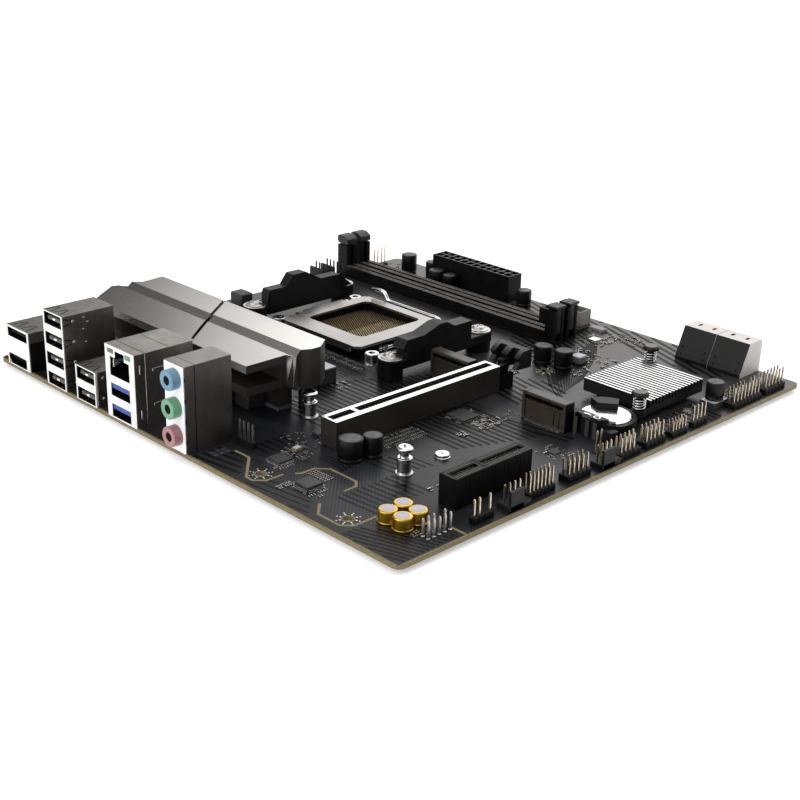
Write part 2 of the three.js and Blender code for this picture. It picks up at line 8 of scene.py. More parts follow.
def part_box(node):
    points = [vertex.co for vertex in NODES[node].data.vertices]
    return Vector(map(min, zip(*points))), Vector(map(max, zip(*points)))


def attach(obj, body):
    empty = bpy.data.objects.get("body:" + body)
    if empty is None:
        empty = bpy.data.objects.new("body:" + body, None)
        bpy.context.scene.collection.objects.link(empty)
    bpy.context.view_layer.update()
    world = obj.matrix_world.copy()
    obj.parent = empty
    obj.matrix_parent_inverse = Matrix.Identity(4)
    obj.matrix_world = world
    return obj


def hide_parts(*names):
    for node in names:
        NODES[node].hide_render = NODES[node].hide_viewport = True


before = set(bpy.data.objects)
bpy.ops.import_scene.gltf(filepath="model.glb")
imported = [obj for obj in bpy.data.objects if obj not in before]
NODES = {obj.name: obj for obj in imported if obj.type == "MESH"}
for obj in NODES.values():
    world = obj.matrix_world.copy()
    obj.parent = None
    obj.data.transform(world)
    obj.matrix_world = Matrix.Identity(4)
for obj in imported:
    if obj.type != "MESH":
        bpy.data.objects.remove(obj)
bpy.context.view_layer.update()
rng = random.Random(7)
MM = 0.001
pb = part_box("pcb")
X0 = pb[0].x                      # board x = 0
Y0 = pb[0].y                      # board y = 0
Z0 = pb[1].z                      # board z = 0, the top face


def P(p):
    return (X0 + p[0] * MM, Y0 + p[1] * MM, Z0 + p[2] * MM)


# ------------------------------------------------------------------ materials
def srgb(h):
    h = h.lstrip("#")
    c = [int(h[i:i + 2], 16) / 255 for i in (0, 2, 4)]
    return tuple((x / 12.92 if x <= 0.04045 else ((x + 0.055) / 1.055) ** 2.4) for x in c) + (1.0,)


def shade(c, k):
    return tuple(min(1.0, x * k) for x in c[:3]) + (1.0,)


class Nodes:
    """A short way to write a node tree."""

    def __init__(self, name):
        self.m = bpy.data.materials.new(name)
        self.m.use_nodes = True
        self.t = self.m.node_tree
        self.t.nodes.clear()
        self.out = self.t.nodes.new("ShaderNodeOutputMaterial")
        self.b = self.t.nodes.new("ShaderNodeBsdfPrincipled")
        self.t.links.new(self.b.outputs[0], self.out.inputs[0])
        self.co = self.t.nodes.new("ShaderNodeTexCoord").outputs["Object"]

    def link(self, a, b):
        self.t.links.new(a, b)

    def mapping(self, scale=(1, 1, 1), rot=(0, 0, 0), src=None):
        n = self.t.nodes.new("ShaderNodeMapping")
        n.inputs["Scale"].default_value = scale
        n.inputs["Rotation"].default_value = rot
        self.link(src or self.co, n.inputs["Vector"])
        return n.outputs[0]

    def noise(self, scale, detail=3.0, rough=0.55, vec=None, stretch=None):
        n = self.t.nodes.new("ShaderNodeTexNoise")
        n.inputs["Scale"].default_value = scale
        n.inputs["Detail"].default_value = detail
        n.inputs["Roughness"].default_value = rough
        self.link(vec or (self.mapping(stretch) if stretch else self.co), n.inputs["Vector"])
        return n.outputs["Fac"]

    def range(self, src, a0, a1, b0, b1):
        n = self.t.nodes.new("ShaderNodeMapRange")
        n.clamp = True
        for i, v in zip(("From Min", "From Max", "To Min", "To Max"), (a0, a1, b0, b1)):
            n.inputs[i].default_value = v
        self.link(src, n.inputs["Value"])
        return n.outputs[0]

    def math(self, op, a, b=0.0, c=0.0):
        n = self.t.nodes.new("ShaderNodeMath")
        n.operation = op
        for i, v in enumerate((a, b, c)):
            if isinstance(v, (int, float)):
                n.inputs[i].default_value = v
            else:
                self.link(v, n.inputs[i])
        return n.outputs[0]

    def mix(self, fac, a, b):
        n = self.t.nodes.new("ShaderNodeMix")
        n.data_type = "RGBA"
        for k, v in (("Factor", fac), ("A", a), ("B", b)):
            s = n.inputs[{"Factor": 0, "A": 6, "B": 7}[k]]
            if isinstance(v, (int, float, tuple)):
                s.default_value = v
            else:
                self.link(v, s)
        return n.outputs[2]

    def mixf(self, fac, a, b):
        n = self.t.nodes.new("ShaderNodeMix")
        n.data_type = "FLOAT"
        for k, v in ((0, fac), (2, a), (3, b)):
            if isinstance(v, (int, float)):
                n.inputs[k].default_value = v
            else:
                self.link(v, n.inputs[k])
        return n.outputs[0]

    def xyz(self, src=None):
        n = self.t.nodes.new("ShaderNodeSeparateXYZ")
        self.link(src or self.co, n.inputs[0])
        return n.outputs

    def normal(self):
        return self.xyz(self.t.nodes.new("ShaderNodeNewGeometry").outputs["Normal"])

    def bump(self, height, strength=0.4, dist=0.00003, prev=None):
        n = self.t.nodes.new("ShaderNodeBump")
        n.inputs["Strength"].default_value = strength
        n.inputs["Distance"].default_value = dist
        self.link(height, n.inputs["Height"])
        if prev is not None:
            self.link(prev, n.inputs["Normal"])
        return n.outputs[0]

    def set(self, **k):
        for key, v in k.items():
            s = self.b.inputs[key.replace("_", " ")]
            if isinstance(v, (int, float, tuple)):
                s.default_value = v
            else:
                self.link(v, s)
        return self


def plastic(name, col, col2=None, rough=(0.42, 0.62), spec=0.35, grain=2600, bump=0.25, coat=0.0, blotch=130):
    """Moulded plastic: fine sparked grain, a slow drift of tone, and faint handling marks."""
    n = Nodes(name)
    c = srgb(col)
    c2 = srgb(col2) if col2 else shade(c, 1.35)
    slow = n.noise(blotch, 4)
    fine = n.noise(grain, 2, 0.6)
    scuff = n.noise(300, 6, 0.7, stretch=(1, 1, 0.25))
    tone = n.mix(n.range(slow, 0.35, 0.68, 0, 1), c, c2)
    tone = n.mix(n.range(scuff, 0.62, 0.78, 0, 0.35), tone, shade(c2, 1.5))
    n.set(Base_Color=tone, Roughness=n.range(n.math("ADD", fine, n.math("MULTIPLY", slow, 0.6)), 0.5, 1.05, rough[0], rough[1]),
          Normal=n.bump(fine, bump, 0.00004), Specular_IOR_Level=spec)
    if coat:
        n.set(Coat_Weight=coat, Coat_Roughness=0.15)
    return n.m


def metal(name, col, col2=None, rough=(0.22, 0.36), dirn=None, streak=1500, bump=0.12, patina=0.25, spots=220, metallic=1.0, seam=None, painted_shade_y=None):
    """Worked metal: a brushed or rolled grain along one axis and a slow change of tone."""
    n = Nodes(name)
    c = srgb(col)
    c2 = srgb(col2) if col2 else shade(c, 0.72)
    st = {None: (1, 1, 1), "X": (0.03, 1, 1), "Y": (1, 0.03, 1), "Z": (1, 1, 0.03)}[dirn]
    line = n.noise(streak, 4, 0.65, stretch=st)
    slow = n.noise(spots, 4, 0.6)
    tone = n.mix(n.range(slow, 0.38, 0.72, 0, 1), c, c2)
    tone = n.mix(n.math("MULTIPLY", n.range(line, 0.3, 0.75, 0, 1), patina), tone, shade(c2, 0.75))
    if painted_shade_y is not None:                                     # painted shade: the tone darkens along Y, standing in for light falling off along the part
        tone = n.mix(n.range(n.xyz()[1], Y0 + painted_shade_y[0] * MM, Y0 + painted_shade_y[1] * MM, 0, 1), tone, shade(c2, painted_shade_y[2]))
    if seam is not None:
        gap = n.math("LESS_THAN", n.math("ABSOLUTE", n.math("SUBTRACT", n.xyz()[0], seam)), 0.00017)
        tone = n.mix(gap, tone, srgb("#090909"))
    n.set(Base_Color=tone, Metallic=metallic, Roughness=n.range(n.math("ADD", line, n.math("MULTIPLY", slow, 0.5)), 0.45, 1.0, rough[0], rough[1]),
          Normal=n.bump(line, bump, 0.00002))
    return n.m


M = {}
M["black"] = plastic("moulded_black", "#070708", "#0d0d0e", spec=0.1, rough=(0.38, 0.55))
M["black_sheen"] = plastic("moulded_black_sheen", "#0a0a0b", "#121111", spec=0.2, rough=(0.34, 0.48))
M["latch"] = plastic("latch_black", "#0e0e0e", "#171616", spec=0.3, rough=(0.32, 0.46))
M["dark_grey"] = plastic("dark_grey_plastic", "#2c2c2d", "#3a3a3b", spec=0.35)
M["grey"] = plastic("grey_plastic", "#6f6b6a", "#858180", spec=0.4, rough=(0.4, 0.55), grain=2000)
M["steel"] = metal("bright_steel", "#dedee0", "#c2c2c5", rough=(0.14, 0.26), dirn="Y", patina=0.18)
M["steel_x"] = metal("bright_steel_x", "#e2e2e4", "#cbcbce", rough=(0.12, 0.22), dirn="X", patina=0.15)
M["plate"] = metal("coated_backplate", "#2a2a2c", "#3a3a3d", rough=(0.4, 0.6), dirn=None, metallic=0.55, patina=0.2)
M["nickel"] = metal("nickel_shell", "#a8a4a0", "#8b8783", rough=(0.25, 0.42), dirn="Z", patina=0.35)
# painted light: a near-white copy of the nickel shell finish for the port fronts, the faces turned to the left lamp
M["front"] = metal("nickel_front_painted_light", "#f1f0ee", "#dcdad7", rough=(0.16, 0.28), dirn="Z", patina=0.1, metallic=0.85)
M["tin"] = metal("solder_tin", "#d9d9d6", "#b4b4b0", rough=(0.18, 0.34), spots=900, patina=0.2)
# painted shade: the VRM heatsink aluminium darkens from y 104 to 230 mm, a light-to-dark run painted into its colour
M["alu"] = metal("satin_aluminium", "#cfccc9", "#c6c3c0", rough=(0.25, 0.28), dirn="Y", streak=1500, bump=0.0, patina=0.04, spots=24, painted_shade_y=(104, 230, 0.42))
# painted shade: a near-black copy of the chipset heatsink aluminium for its fin sides and gaps
M["alu_dark"] = metal("fin_side_painted_shade", "#1b1b1c", "#121213", rough=(0.4, 0.55), dirn="Y", streak=2400, patina=0.3, metallic=0.4)
# bright copy: the lit fin tops of the chipset heatsink, a painted light, and the metal tops of two small packages
M["fin_top"] = metal("fin_top", "#e2e2e2", "#c6c6c8", rough=(0.16, 0.28), dirn="Y", patina=0.12)
M["gold_pin"] = metal("gilt_pin", "#d3c7b4", "#978a78", rough=(0.18, 0.32), dirn="Z", spots=600, patina=0.25)
M["grey_pin"] = metal("tinned_pin", "#c9c7c6", "#a9a7a6", rough=(0.25, 0.4), dirn="Z", spots=600)
M["contact"] = metal("contact_tip", "#e2cda6", "#bfa577", rough=(0.2, 0.35), spots=900)
M["blue"] = plastic("port_blue", "#123788", "#1a46a0", spec=0.4, rough=(0.25, 0.4))
M["jack_blue"] = plastic("jack_blue", "#5a8199", "#648ba3", spec=0.45, rough=(0.32, 0.46), blotch=300)
M["jack_green"] = plastic("jack_green", "#5b9070", "#669b7b", spec=0.45, rough=(0.32, 0.46), blotch=300)
M["jack_pink"] = plastic("jack_pink", "#95676c", "#a07379", spec=0.45, rough=(0.32, 0.46), blotch=300)
M["audio"] = metal("audio_shell", "#8f8b88", "#7d7976", rough=(0.26, 0.38), dirn="Z", patina=0.25, spots=90, seam=X0 + 4.6 * MM)
# painted light: near-white for the audio front plate, the face turned to the left lamp
M["white_front"] = plastic("pale_front_painted_light", "#ececee", "#f6f6f7", spec=0.5, rough=(0.3, 0.42))
M["chip"] = plastic("chip_epoxy", "#252527", "#2f2f31", spec=0.45, rough=(0.4, 0.55), grain=4200, bump=0.4)
M["chip_light"] = plastic("chip_epoxy_light", "#77767a", "#8a898c", spec=0.45, rough=(0.35, 0.5), grain=4200)
M["cer_brown"] = plastic("ceramic_brown", "#6f5a42", "#8a7355", spec=0.4, rough=(0.35, 0.5), grain=5000)
M["cer_black"] = plastic("resistor_black", "#1a1a1b", "#252526", spec=0.4, rough=(0.35, 0.5), grain=5000)
M["choke"] = plastic("choke_grey", "#2b2b2d", "#38383b", spec=0.4, rough=(0.45, 0.6), grain=3000, bump=0.5)
M["tan"] = plastic("bare_laminate", "#746a4c", "#847a5a", spec=0.3, rough=(0.5, 0.65), grain=3000)
M["m2"] = plastic("m2_brown", "#2b2520", "#393129", spec=0.45, rough=(0.35, 0.5))
M["pad"] = plastic("thermal_pad", "#4b4e55", "#5a5d65", spec=0.2, rough=(0.75, 0.9), grain=1500, bump=0.6)
M["lens_red"] = plastic("lens_red", "#4a332b", "#563b32", spec=0.5, rough=(0.2, 0.3), coat=0.5)
M["lens_green"] = plastic("lens_green", "#3d6e44", "#4a7f50", spec=0.5, rough=(0.2, 0.3), coat=0.5)
# near-black matte: painted shade inside holes, slots, slits and recesses, and the dark of seam lines
M["dark_hole"] = plastic("painted_recess_shade_and_seam", "#060606", "#0a0a0a", spec=0.1, rough=(0.7, 0.85))
M["sleeve"] = plastic("capacitor_sleeve", "#0b0b0c", "#121214", spec=0.22, rough=(0.28, 0.42), grain=1200)
M["can_top"] = metal("capacitor_top", "#5c5b5c", "#4a494b", rough=(0.4, 0.55), spots=500, metallic=0.7)
M["can_white"] = plastic("capacitor_disc", "#aeabb8", "#bab7c2", spec=0.5, rough=(0.3, 0.45))
M["gold_can"] = metal("gold_can", "#d8b64c", "#bd9833", rough=(0.26, 0.36), dirn="Z", streak=900, patina=0.25, spots=260)
M["spring"] = metal("spring_wire", "#e4e4e6", "#c7c7ca", rough=(0.15, 0.25))
M["coin"] = metal("cell_steel", "#f2f2f3", "#dcdcde", rough=(0.12, 0.24), spots=120, patina=0.12)
M["rail"] = plastic("slot_contact_rail", "#494441", "#6a6461", spec=0.5, rough=(0.25, 0.4), grain=4000)
M["rail_dim"] = plastic("moulded_rim", "#201f1e", "#302e2d", spec=0.5, rough=(0.28, 0.42), grain=4000)
M["m2_lip"] = plastic("card_socket_lip", "#28231b", "#383024", spec=0.5, rough=(0.3, 0.42), grain=4000)
M["m2_top"] = plastic("card_socket_top", "#262322", "#322e2d", spec=0.5, rough=(0.3, 0.42), grain=4000)
M["contact_dim"] = metal("contact_tip_shaded", "#a08c6c", "#7c6a4c", rough=(0.3, 0.45), spots=900)
M["sata_grey"] = plastic("drive_port_grey", "#cfc9c6", "#dcd6d3", spec=0.5, rough=(0.34, 0.48), grain=2400)
M["tongue"] = plastic("port_tongue", "#35322f", "#45413d", spec=0.5, rough=(0.3, 0.42))
M["header_grey"] = plastic("header_plastic", "#121213", "#1a1a1a", spec=0.16, rough=(0.36, 0.5))
# painted sheen: mid grey for the push pins' upward faces, standing in for the light on their tops
M["pin_head"] = plastic("pin_top_painted_sheen", "#4a4847", "#5a5857", spec=0.5, rough=(0.3, 0.42))
# painted shade: a darker, less metallic copy of the heatsink aluminium for its faces turned to -Y and its lower faces
M["alu_shaded"] = metal("aluminium_painted_shade", "#434140", "#504e4c", rough=(0.36, 0.44), spots=60, bump=0.02, patina=0.05, metallic=0.8)
M["plate_steel"] = metal("rolled_plate", "#a19e9c", "#93908e", rough=(0.24, 0.34), dirn="Y", patina=0.12, spots=60)
# painted shade: a darker copy of the slot shell steel for its side and front-end faces
M["shell_side"] = metal("slot_shell_painted_shade", "#4b4846", "#3b3937", rough=(0.36, 0.48), dirn="X", patina=0.15, spots=80, metallic=0.8)
M["bolt"] = metal("bolt_steel", "#c9c6c4", "#b0adab", rough=(0.3, 0.42), spots=300, patina=0.15)
M["copper_mark"] = metal("nut_pad", "#d9cfae", "#bfae80", rough=(0.25, 0.4), spots=700)


def pcb_material():
    """Satin black solder mask over copper on the two faces, and bare layered laminate at the rim."""
    n = Nodes("solder_mask")
    x, y, z = n.xyz()
    cx, cy = (pb[0].x + pb[1].x) / 2, (pb[0].y + pb[1].y) / 2
    hx, hy = (pb[1].x - pb[0].x) / 2, (pb[1].y - pb[0].y) / 2
    dx = n.math("SUBTRACT", n.math("ABSOLUTE", n.math("SUBTRACT", x, cx)), hx - 0.0008)
    dy = n.math("SUBTRACT", n.math("ABSOLUTE", n.math("SUBTRACT", y, cy)), hy - 0.0008)
    rim = n.math("GREATER_THAN", n.math("MAXIMUM", dx, dy), 0.0)
    nz = n.math("ABSOLUTE", n.normal()[2])
    side = n.math("LESS_THAN", nz, 0.5)
    bare = n.math("MAXIMUM", rim, side)
    slow = n.noise(28, 5, 0.6)
    fine = n.noise(3800, 2, 0.6)
    mask = n.mix(n.range(slow, 0.36, 0.66, 0, 1), srgb("#17181b"), srgb("#1e1f23"))
    # copper under the mask: two crossed families of fine runs, broken up in patches
    runs = None
    for rot, sc, lo in ((0.0, 1.0, 0.52), (math.pi / 4, 0.8, 0.56)):
        w = n.t.nodes.new("ShaderNodeTexWave")
        w.wave_type, w.bands_direction = "BANDS", "X"
        w.inputs["Scale"].default_value = 330 * sc
        w.inputs["Distortion"].default_value = 0.0
        n.link(n.mapping(rot=(0, 0, rot)), w.inputs["Vector"])
        line = n.range(w.outputs["Fac"], 0.62, 0.75, 0, 1)
        patch = n.range(n.noise(60 * sc, 1, 0.3, stretch=(1.0, 0.35, 1)), lo, lo + 0.03, 0, 1)
        f = n.math("MULTIPLY", line, patch)
        runs = f if runs is None else n.math("MAXIMUM", runs, f)
    mask = n.mix(n.math("MULTIPLY", runs, 0.35), mask, srgb("#44464c"))
    # painted sheen: the mask tone lifts toward pinkish grey across the drive side, x 120 to 215 mm, standing in for the
    # soft reflection there
    mask = n.mix(n.range(x, X0 + 120 * MM, X0 + 215 * MM, 0, 0.6), mask, srgb("#383334"))
    layer = n.t.nodes.new("ShaderNodeTexWave")
    layer.wave_type, layer.bands_direction = "BANDS", "Z"
    layer.inputs["Scale"].default_value = 900
    layer.inputs["Distortion"].default_value = 2.0
    n.link(n.mapping((0.2, 0.2, 1)), layer.inputs["Vector"])
    tan = n.mix(n.range(layer.outputs["Fac"], 0.2, 0.8, 0, 1), srgb("#6f6648"), srgb("#82785a"))
    tan = n.mix(n.range(n.noise(900, 4), 0.45, 0.7, 0, 0.5), tan, srgb("#5c543a"))
    # painted reflection: the specular level rises from the port side to the drive side along X
    n.set(Base_Color=n.mix(bare, mask, tan),
          Roughness=n.mixf(bare, n.range(n.math("ADD", fine, slow), 0.7, 1.3, 0.3, 0.4), 0.62),
          Normal=n.bump(n.math("ADD", n.math("MULTIPLY", fine, 0.35), runs), 0.35, 0.00002),
          Specular_IOR_Level=n.range(x, X0 + 30 * MM, X0 + 190 * MM, 0.11, 0.44))
    return n.m


M["pcb"] = pcb_material()
M["relief"] = plastic("mask_over_gap", "#050506", "#09090b", spec=0.08, rough=(0.36, 0.5), grain=3800, blotch=40)
M["trace"] = plastic("mask_over_track", "#35373c", "#3f4146", spec=0.2, rough=(0.32, 0.44), grain=3800, blotch=40)


def floor_material():
    n = Nodes("studio_floor")
    n.set(Base_Color=n.mix(n.range(n.noise(1.5, 3), 0.3, 0.7, 0, 1), srgb("#f4f4f5"), srgb("#f7f7f8")),
          Roughness=0.9, Specular_IOR_Level=0.1, Emission_Color=srgb("#f6f6f8"), Emission_Strength=0.4)
    return n.m


# -------------------------------------------------------------- mesh building
class G:
    """Gathers closed solids, in board millimetres, into one mesh."""

    def __init__(self):
        self.v, self.f, self.mi = [], [], []

    def add(self, verts, faces, m=0, convex=True):
        if convex:
            c = [sum(p[i] for p in verts) / len(verts) for i in range(3)]
            out = []
            for f in faces:
                a, b, d = verts[f[0]], verts[f[1]], verts[f[2]]
                u = [b[i] - a[i] for i in range(3)]
                w = [d[i] - a[i] for i in range(3)]
                nrm = (u[1] * w[2] - u[2] * w[1], u[2] * w[0] - u[0] * w[2], u[0] * w[1] - u[1] * w[0])
                mid = [sum(verts[j][i] for j in f) / len(f) - c[i] for i in range(3)]
                out.append(f if sum(nrm[i] * mid[i] for i in range(3)) > 0 else f[::-1])
            faces = out
        k = len(self.v)
        self.v += [tuple(p) for p in verts]
        self.f += [[k + i for i in f] for f in faces]
        self.mi += [m] * len(faces)
        return self

    def box(self, x0, x1, y0, y1, z0, z1, m=0, c=None, turn=None):
        """A block with its edges broken by c; turn is (degrees, cx, cy) about Z."""
        lo, hi = (x0, y0, z0), (x1, y1, z1)
        d = min(x1 - x0, y1 - y0, z1 - z0)
        c = min(0.12 * d if c is None else c, 0.45 * d)
        vs, idx = [], {}
        for corner in range(8):
            s = [(corner >> i) & 1 for i in range(3)]
            for ax in range(3):
                p = [(hi[i] if s[i] else lo[i]) for i in range(3)]
                for i in range(3):
                    if i != ax:
                        p[i] += -c if s[i] else c
                idx[(corner, ax)] = len(vs)
                vs.append(p)
        fs = []
        for ax in range(3):
            a, b = [i for i in range(3) if i != ax]
            for s in (0, 1):
                ring = [(0, 0), (1, 0), (1, 1), (0, 1)]
                fs.append([idx[((s << ax) | (p << a) | (q << b), ax)] for p, q in ring])
        for ax in range(3):
            a, b = [i for i in range(3) if i != ax]
            for p in (0, 1):
                for q in (0, 1):
                    c0 = (p << a) | (q << b)
                    c1 = c0 | (1 << ax)
                    fs.append([idx[(c0, a)], idx[(c1, a)], idx[(c1, b)], idx[(c0, b)]])
        for corner in range(8):
            fs.append([idx[(corner, 0)], idx[(corner, 1)], idx[(corner, 2)]])
        if turn:
            vs = [rot(p, *turn) for p in vs]
        return self.add(vs, fs, m)

    def prism(self, pts, lo, hi, axis="z", m=0, turn=None):
        """Straight extrusion of an outline along an axis; the outline may be concave."""
        area = sum(pts[i][0] * pts[(i + 1) % len(pts)][1] - pts[(i + 1) % len(pts)][0] * pts[i][1] for i in range(len(pts)))
        pts = pts if area > 0 else pts[::-1]
        put = {"z": lambda a, b, c: (a, b, c), "x": lambda a, b, c: (c, a, b), "y": lambda a, b, c: (a, c, b)}[axis]
        n = len(pts)
        vs = [put(a, b, lo) for a, b in pts] + [put(a, b, hi) for a, b in pts]
        fs = [list(range(n))[::-1], list(range(n, 2 * n))] + [[i, (i + 1) % n, n + (i + 1) % n, n + i] for i in range(n)]
        if axis == "y":
            fs = [f[::-1] for f in fs]
        if turn:
            vs = [rot(p, *turn) for p in vs]
        return self.add(vs, fs, m, convex=False)

    def lathe(self, prof, x, y, n=20, m=0, axis="z", cap=True, phase=0.0):
        """Solid of revolution; prof is (r, h) up one side, both ends on the axis or closed with a face."""
        vs, fs, rings = [], [], []
        for r, h in prof:
            if r < 1e-9:
                rings.append([len(vs)])
                vs.append((0, 0, h))
            else:
                rings.append(list(range(len(vs), len(vs) + n)))
                vs += [(r * math.cos(2 * math.pi * (i + phase) / n), r * math.sin(2 * math.pi * (i + phase) / n), h) for i in range(n)]
        for a, b in zip(rings, rings[1:]):
            for i in range(n):
                j = (i + 1) % n
                if len(a) == 1 and len(b) == 1:
                    continue
                if len(a) == 1:
                    fs.append([a[0], b[j], b[i]])
                elif len(b) == 1:
                    fs.append([a[i], a[j], b[0]])
                else:
                    fs.append([a[i], a[j], b[j], b[i]])
        if cap and len(rings[0]) > 1:
            fs.append(rings[0][::-1])
        if cap and len(rings[-1]) > 1:
            fs.append(rings[-1])
        place = {"z": lambda p: (x + p[0], y + p[1], p[2]), "x": lambda p: (p[2], x + p[0], y + p[1]), "y": lambda p: (x + p[1], p[2], y + p[0])}[axis]
        return self.add([place(p) for p in vs], fs, m, convex=False)

    def ring(self, x, y, r0, r1, z0, z1, n=24, m=0, axis="z", b=0.0):
        """A flat ring with a square section and optional broken edges."""
        b = min(b, (r1 - r0) * 0.4, (z1 - z0) * 0.4)
        prof = [(r0, z0), (r1 - b, z0), (r1, z0 + b), (r1, z1 - b), (r1 - b, z1), (r0, z1)]
        vs, fs = [], []
        k = len(prof)
        for i in range(n):
            a = 2 * math.pi * i / n
            vs += [(r * math.cos(a), r * math.sin(a), h) for r, h in prof]
        for i in range(n):
            j = (i + 1) % n
            for q in range(k):
                w = (q + 1) % k
                fs.append([i * k + q, j * k + q, j * k + w, i * k + w])
        place = {"z": lambda p: (x + p[0], y + p[1], p[2]), "x": lambda p: (p[2], x + p[0], y + p[1]), "y": lambda p: (x + p[1], p[2], y + p[0])}[axis]
        return self.add([place(p) for p in vs], fs, m, convex=False)

    def strip(self, path, w, z0, z1, m=0):
        """A flat track along a bent line on the board, mitred at its bends."""
        n = len(path)
        L, R = [], []
        for i, (x, y) in enumerate(path):
            a = path[max(i - 1, 0)]
            b = path[min(i + 1, n - 1)]
            d1 = unit(x - a[0], y - a[1]) if i else unit(b[0] - x, b[1] - y)
            d2 = unit(b[0] - x, b[1] - y) if i < n - 1 else d1
            nx, ny = -(d1[1] + d2[1]), d1[0] + d2[0]
            k = math.hypot(nx, ny) or 1
            nx, ny = nx / k, ny / k
            cosv = max(0.35, nx * -d1[1] + ny * d1[0])
            L.append((x + nx * w / 2 / cosv, y + ny * w / 2 / cosv))
            R.append((x - nx * w / 2 / cosv, y - ny * w / 2 / cosv))
        vs = [(*p, z1) for p in L] + [(*p, z1) for p in R] + [(*p, z0) for p in L] + [(*p, z0) for p in R]
        fs = []
        for i in range(n - 1):
            j = i + 1
            fs += [[n + i, n + j, j, i], [2 * n + i, 2 * n + j, 3 * n + j, 3 * n + i], [i, j, 2 * n + j, 2 * n + i], [n + j, n + i, 3 * n + i, 3 * n + j]]
        fs += [[0, 2 * n, 3 * n, n], [n - 1, 2 * n - 1, 4 * n - 1, 3 * n - 1]]
        return self.add(vs, fs, m, convex=False)

    def wire(self, pts, r, n=8, m=0):
        """A round wire through points, with flat ends."""
        V = [Vector(p) for p in pts]
        t0 = (V[1] - V[0]).normalized()
        ref = Vector((0, 0, 1)) if abs(t0.z) < 0.9 else Vector((1, 0, 0))
        u = t0.cross(ref).normalized()
        vs, fs = [], []
        for i, p in enumerate(V):
            t = ((V[i + 1] - V[i]).normalized() if i < len(V) - 1 else Vector()) + ((V[i] - V[i - 1]).normalized() if i else Vector())
            t.normalize()
            u = (u - t * u.dot(t)).normalized()
            w = t.cross(u)
            vs += [tuple(p + (u * math.cos(2 * math.pi * k / n) + w * math.sin(2 * math.pi * k / n)) * r) for k in range(n)]
        for i in range(len(V) - 1):
            for k in range(n):
                q = (k + 1) % n
                fs.append([i * n + k, i * n + q, (i + 1) * n + q, (i + 1) * n + k])
        e = (len(V) - 1) * n
        fs += [list(range(n))[::-1], [e + k for k in range(n)]]
        return self.add(vs, fs, m, convex=False)

    def pin(self, x, y, z0, z1, w=0.64, m=0):
        """A square post with a tapered tip."""
        h, t = w / 2, w * 0.28
        k = min(0.7, (z1 - z0) * 0.2)
        vs = [(x + sx * h, y + sy * h, z0) for sx, sy in SQ] + [(x + sx * h, y + sy * h, z1 - k) for sx, sy in SQ] + [(x + sx * t, y + sy * t, z1) for sx, sy in SQ]
        fs = [[3, 2, 1, 0], [8, 9, 10, 11]]
        for lv in (0, 4):
            for i in range(4):
                j = (i + 1) % 4
                fs.append([lv + i, lv + j, lv + 4 + j, lv + 4 + i])
        return self.add(vs, fs, m)


SQ = ((-1, -1), (1, -1), (1, 1), (-1, 1))


def unit(x, y):
    k = math.hypot(x, y) or 1.0
    return x / k, y / k


def rot(p, deg, cx, cy):
    a = math.radians(deg)
    x, y = p[0] - cx, p[1] - cy
    return (cx + x * math.cos(a) - y * math.sin(a), cy + x * math.sin(a) + y * math.cos(a), p[2])


def piece(name, g, mats, body="board", smooth=38, replaces=()):
    me = bpy.data.meshes.new(name)
    me.from_pydata([P(p) for p in g.v], [], g.f)
    for m in mats:
        me.materials.append(M[m])
    me.polygons.foreach_set("material_index", g.mi)
    me.shade_smooth()
    me.set_sharp_from_angle(angle=math.radians(smooth))
    me.update()
    o = bpy.data.objects.new(name, me)
    bpy.context.scene.collection.objects.link(o)
    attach(o, body)
    if replaces:
        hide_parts(*replaces)
    return o


def dress(node, mats, bevel=0.12, seg=2, angle=32, smooth=None, pick=None, merge=True):
    """Gives a CAD node its materials and breaks its edges; its own mesh stays as packed."""
    o = NODES[node]
    mats = mats if isinstance(mats, (list, tuple)) else [mats]
    o.data.materials.clear()
    for m in mats:
        o.data.materials.append(M[m])
    if pick:
        for p in o.data.polygons:
            c = p.center
            p.material_index = pick(((c.x - X0) / MM, (c.y - Y0) / MM, (c.z - Z0) / MM), p.normal)
    if not merge:
        for p in o.data.polygons:
            p.use_smooth = False
        return o
    w = o.modifiers.new("weld", "WELD")
    w.merge_threshold = 2e-6
    if merge:
        d = o.modifiers.new("flat", "DECIMATE")
        d.decimate_type = "DISSOLVE"
        d.angle_limit = math.radians(1.0)
        d.delimit = {"MATERIAL"}
    if bevel:
        b = o.modifiers.new("edge", "BEVEL")
        b.width = bevel * MM
        b.segments = seg
        b.limit_method = "ANGLE"
        b.angle_limit = math.radians(angle)
        b.harden_normals = False
        b.use_clamp_overlap = True
        b.miter_outer = "MITER_ARC" if seg > 1 else "MITER_SHARP"
    for p in o.data.polygons:
        p.use_smooth = True
    n = o.modifiers.new("normals", "WEIGHTED_NORMAL")
    n.keep_sharp = True
    n.weight = 60
    o.data.set_sharp_from_angle(angle=math.radians(smooth or 30))
    return o


def inside(c, box):
    return box[0] < c[0] < box[1] and box[2] < c[1] < box[3] and box[4] < c[2] < box[5]


